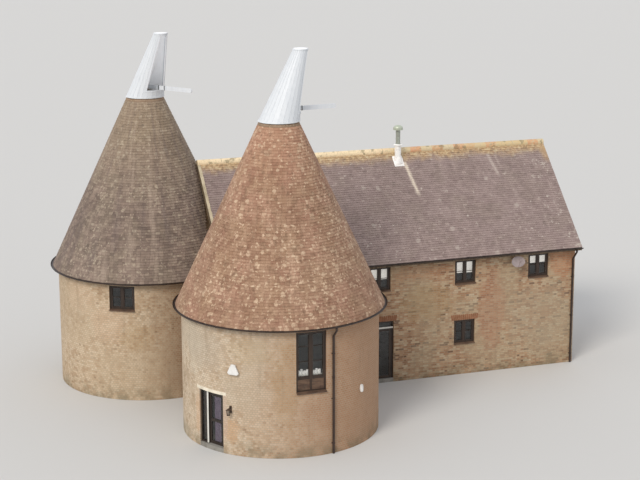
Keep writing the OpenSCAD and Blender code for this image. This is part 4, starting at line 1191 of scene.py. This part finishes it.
# Fittings
def flue_details():
    """Lead slate, storm collar, clamp bands and a domed cap with a hanging rim."""
    centre = Vector((FLUE_X, FLUE_Y, 0))
    middle = (EAVE_Y + FLUE_Y) / math.cos(BARN_PITCH)
    rings = []
    for up in np.linspace(middle - .29, middle + .20, 14):
        half = .20 + chance.uniform(-.006, .006)
        rings.append(slope_ring(-1, up, square((FLUE_X - half, FLUE_X + half), (.026, .032))))
    collar = [(.125, 7.70), (.20, 7.80), (.19, 7.83), (.127, 8.06), (.125, 8.06)]
    piece("flue_flashing", [strip(rings), lathe(collar, centre, 40)], WHITE_LEAD)
    collar = [(.085, 8.53), (.17, 8.50), (.172, 8.51), (.095, 8.57), (.085, 8.57)]
    clamps = [sleeve(.084, .008, .025, centre + UP * z, 32) for z in (8.75, 8.98)]
    piece("flue_bands", [lathe(collar, centre, 40), *clamps], FLUE)
    hood = [(.180, 0), (.188, 0), (.186, .085), (.168, .125), (.110, .165), (.040, .184), (.001, .188),
            (.001, .180), (.172, .108), (.178, .085)]
    piece("flue_cap_hood", [lathe(hood, centre + UP * (RIDGE_Z + .87))], FLUE)


def lantern():
    """A six-sided lantern with a small roof, on its bracket."""
    place = on_kiln(KILN_B, LANTERN_TURN)
    middle = place.at(0, .150, LANTERN_Z)
    shapes = [place.block((-.045, .045), (.001, .016), (LANTERN_Z - .10, LANTERN_Z + .14)),
              place.block((-.008, .008), (.016, .16), (LANTERN_Z + .075, LANTERN_Z + .09))]
    for turn in range(0, 360, 60):
        ends = [middle + ray(turn) * .052 - UP * .14, middle + ray(turn) * .070 + UP * .03]
        shapes.append(rod(ends, ray(0), ray(90), .006, 4))
    tray = square((.001, .058), (-.15, -.135))
    roof = [(.001, .03), (.088, .03), (.084, .042), (.03, .075), (.018, .075), (.012, .09), (.001, .09)]
    shapes += [lathe(tray, middle, 6), lathe(roof, middle, 24)]
    made = piece("wall_lantern", shapes, BRONZE)
    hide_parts("wall_lights")
    panes = [(.001, -.135), (.050, -.135), (.066, .03), (.001, .03)]
    piece("lantern_glass", [lathe(panes, middle, 6)], GLASS)


def wall_light():
    """A short round light with a ribbed body."""
    place = on_kiln(KILN_B, LIGHT_TURN)
    body = [(.001, 0), (.050, 0), (.050, .03), (.060, .03), (.060, .21), (.050, .21), (.050, .24),
            (.001, .24)]
    plate = place.block((-.03, .03), (.001, .03), (LIGHT_Z + .06, LIGHT_Z + .18))
    shapes = [lathe(body, place.at(0, .0605, LIGHT_Z), 32), plate]
    made = piece("wall_light", shapes, CASE)
    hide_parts("wall_lights")


def wall_case():
    """A white case that narrows upwards, with rounded edges and a lid that stands proud of its body."""
    place = on_kiln(KILN_B, CASE_TURN)
    outline = ((-.150, 0), (.150, 0), (.210, .060), (.075, CASE_H), (-.075, CASE_H), (-.210, .060))
    shapes = []
    for inset, low, high in ((.022, .001, .060), (.002, .036, .108)):
        rim = [place.at(across - math.copysign(inset, across), low,
                        CASE_Z + min(CASE_H - inset, max(inset, up))) for across, up in outline]
        shapes.append(prism(rim, high - low))
    made = piece("wall_case", shapes, CASE, bevel=.014)
    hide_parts("wall_box")


def dress_house():
    dress_cad()
    tile_kiln("a", KILN_A, KILN_A_TILE)
    tile_kiln("b", KILN_B, KILN_B_TILE)
    tile_slope("barn_front_tiles", -1)
    tile_slope("barn_back_tiles", 1)
    ridge_bedding()
    verges()
    meeting("rear_kiln_fillet", MORTAR, KILN_A, 1, (-30, 120), .085, .035)
    meeting("front_kiln_valley", LEAD, KILN_B, -1, (20, 160), .09, .03)
    dress_cowl("a", KILN_A, COWL_A_TURN)
    dress_cowl("b", KILN_B, COWL_B_TURN)
    cone_collars()
    sashes()
    tall_window()
    door_boards()
    blinds()
    door_curtain()
    arches()
    gutter_brackets()
    pipe_clips()
    flue_details()
    lantern()
    wall_light()
    wall_case()


# Stage
SKY = .76
SUN = 1.72
FLOOR_REACH = 400


def floor():
    f = Finish("pale floor", roughness=.95)
    f.set("Base Color", (208, 207, 204))
    mesh = bpy.data.meshes.new("floor")
    corners = [(x * FLOOR_REACH, y * FLOOR_REACH, -.002) for x, y in ((-1, -1), (1, -1), (1, 1), (-1, 1))]
    mesh.from_pydata(corners, [], [(0, 1, 2, 3)])
    mesh.materials.append(f.material)
    add("floor", mesh)


class Sky(Finish):
    """The light of a world, from the same kinds of node."""

    def __init__(self, world):
        self.open(world, "Background")


def light():
    """A dim sky that shows bright to the camera, in mirrors and through glass, and a soft sun."""
    world = bpy.data.worlds.new("studio")
    sky = Sky(world)
    seen = sky.node("ShaderNodeLightPath", output="Is Camera Ray")
    outputs = seen.socket.node.outputs
    for kind in ("Is Glossy Ray", "Is Transmission Ray"):
        seen = seen.most(Value(sky, outputs[kind]))
    sky.set("Strength", sky.node("ShaderNodeMix", {"data_type": "FLOAT"}, {0: seen, 2: SKY, 3: 1}))
    sky.shader.inputs["Color"].default_value = (.93, .95, 1, 1)
    bpy.context.scene.world = world
    lamp = bpy.data.lights.new("key", "SUN")
    lamp.energy = SUN
    lamp.angle = math.radians(22)
    lamp.color = (1, .95, .88)
    add("key", lamp).rotation_euler = (math.radians(52), 0, math.radians(-48))


# The photograph's camera, in metres and pixels of a 640 by 480 picture, drawn closer to the house
PICTURE_W = 640
PICTURE_H = 480
PHOTO_FOCUS = 516.725
PHOTO_EYE = (-21.531, -56.418, 19.059)
PHOTO_PITCH = 12.42
PHOTO_YAW = 19.39
HOUSE_CENTRE = (315, 248.6)
ZOOM = 3.06
SENSOR = 36


def camera():
    lens = bpy.data.cameras.new("camera")
    lens.sensor_width = SENSOR
    lens.lens = PHOTO_FOCUS * ZOOM * SENSOR / PICTURE_W
    lens.shift_x = (HOUSE_CENTRE[0] - PICTURE_W / 2) * ZOOM / PICTURE_W
    lens.shift_y = (PICTURE_H / 2 - HOUSE_CENTRE[1]) * ZOOM / PICTURE_W
    lens.clip_end = 1000
    made = add("camera", lens)
    made.location = PHOTO_EYE
    made.rotation_euler = (math.radians(90 - PHOTO_PITCH), 0, math.radians(-PHOTO_YAW))
    bpy.context.scene.camera = made


dress_house()
floor()
light()
camera()
bpy.context.scene.view_settings.view_transform = "Standard"
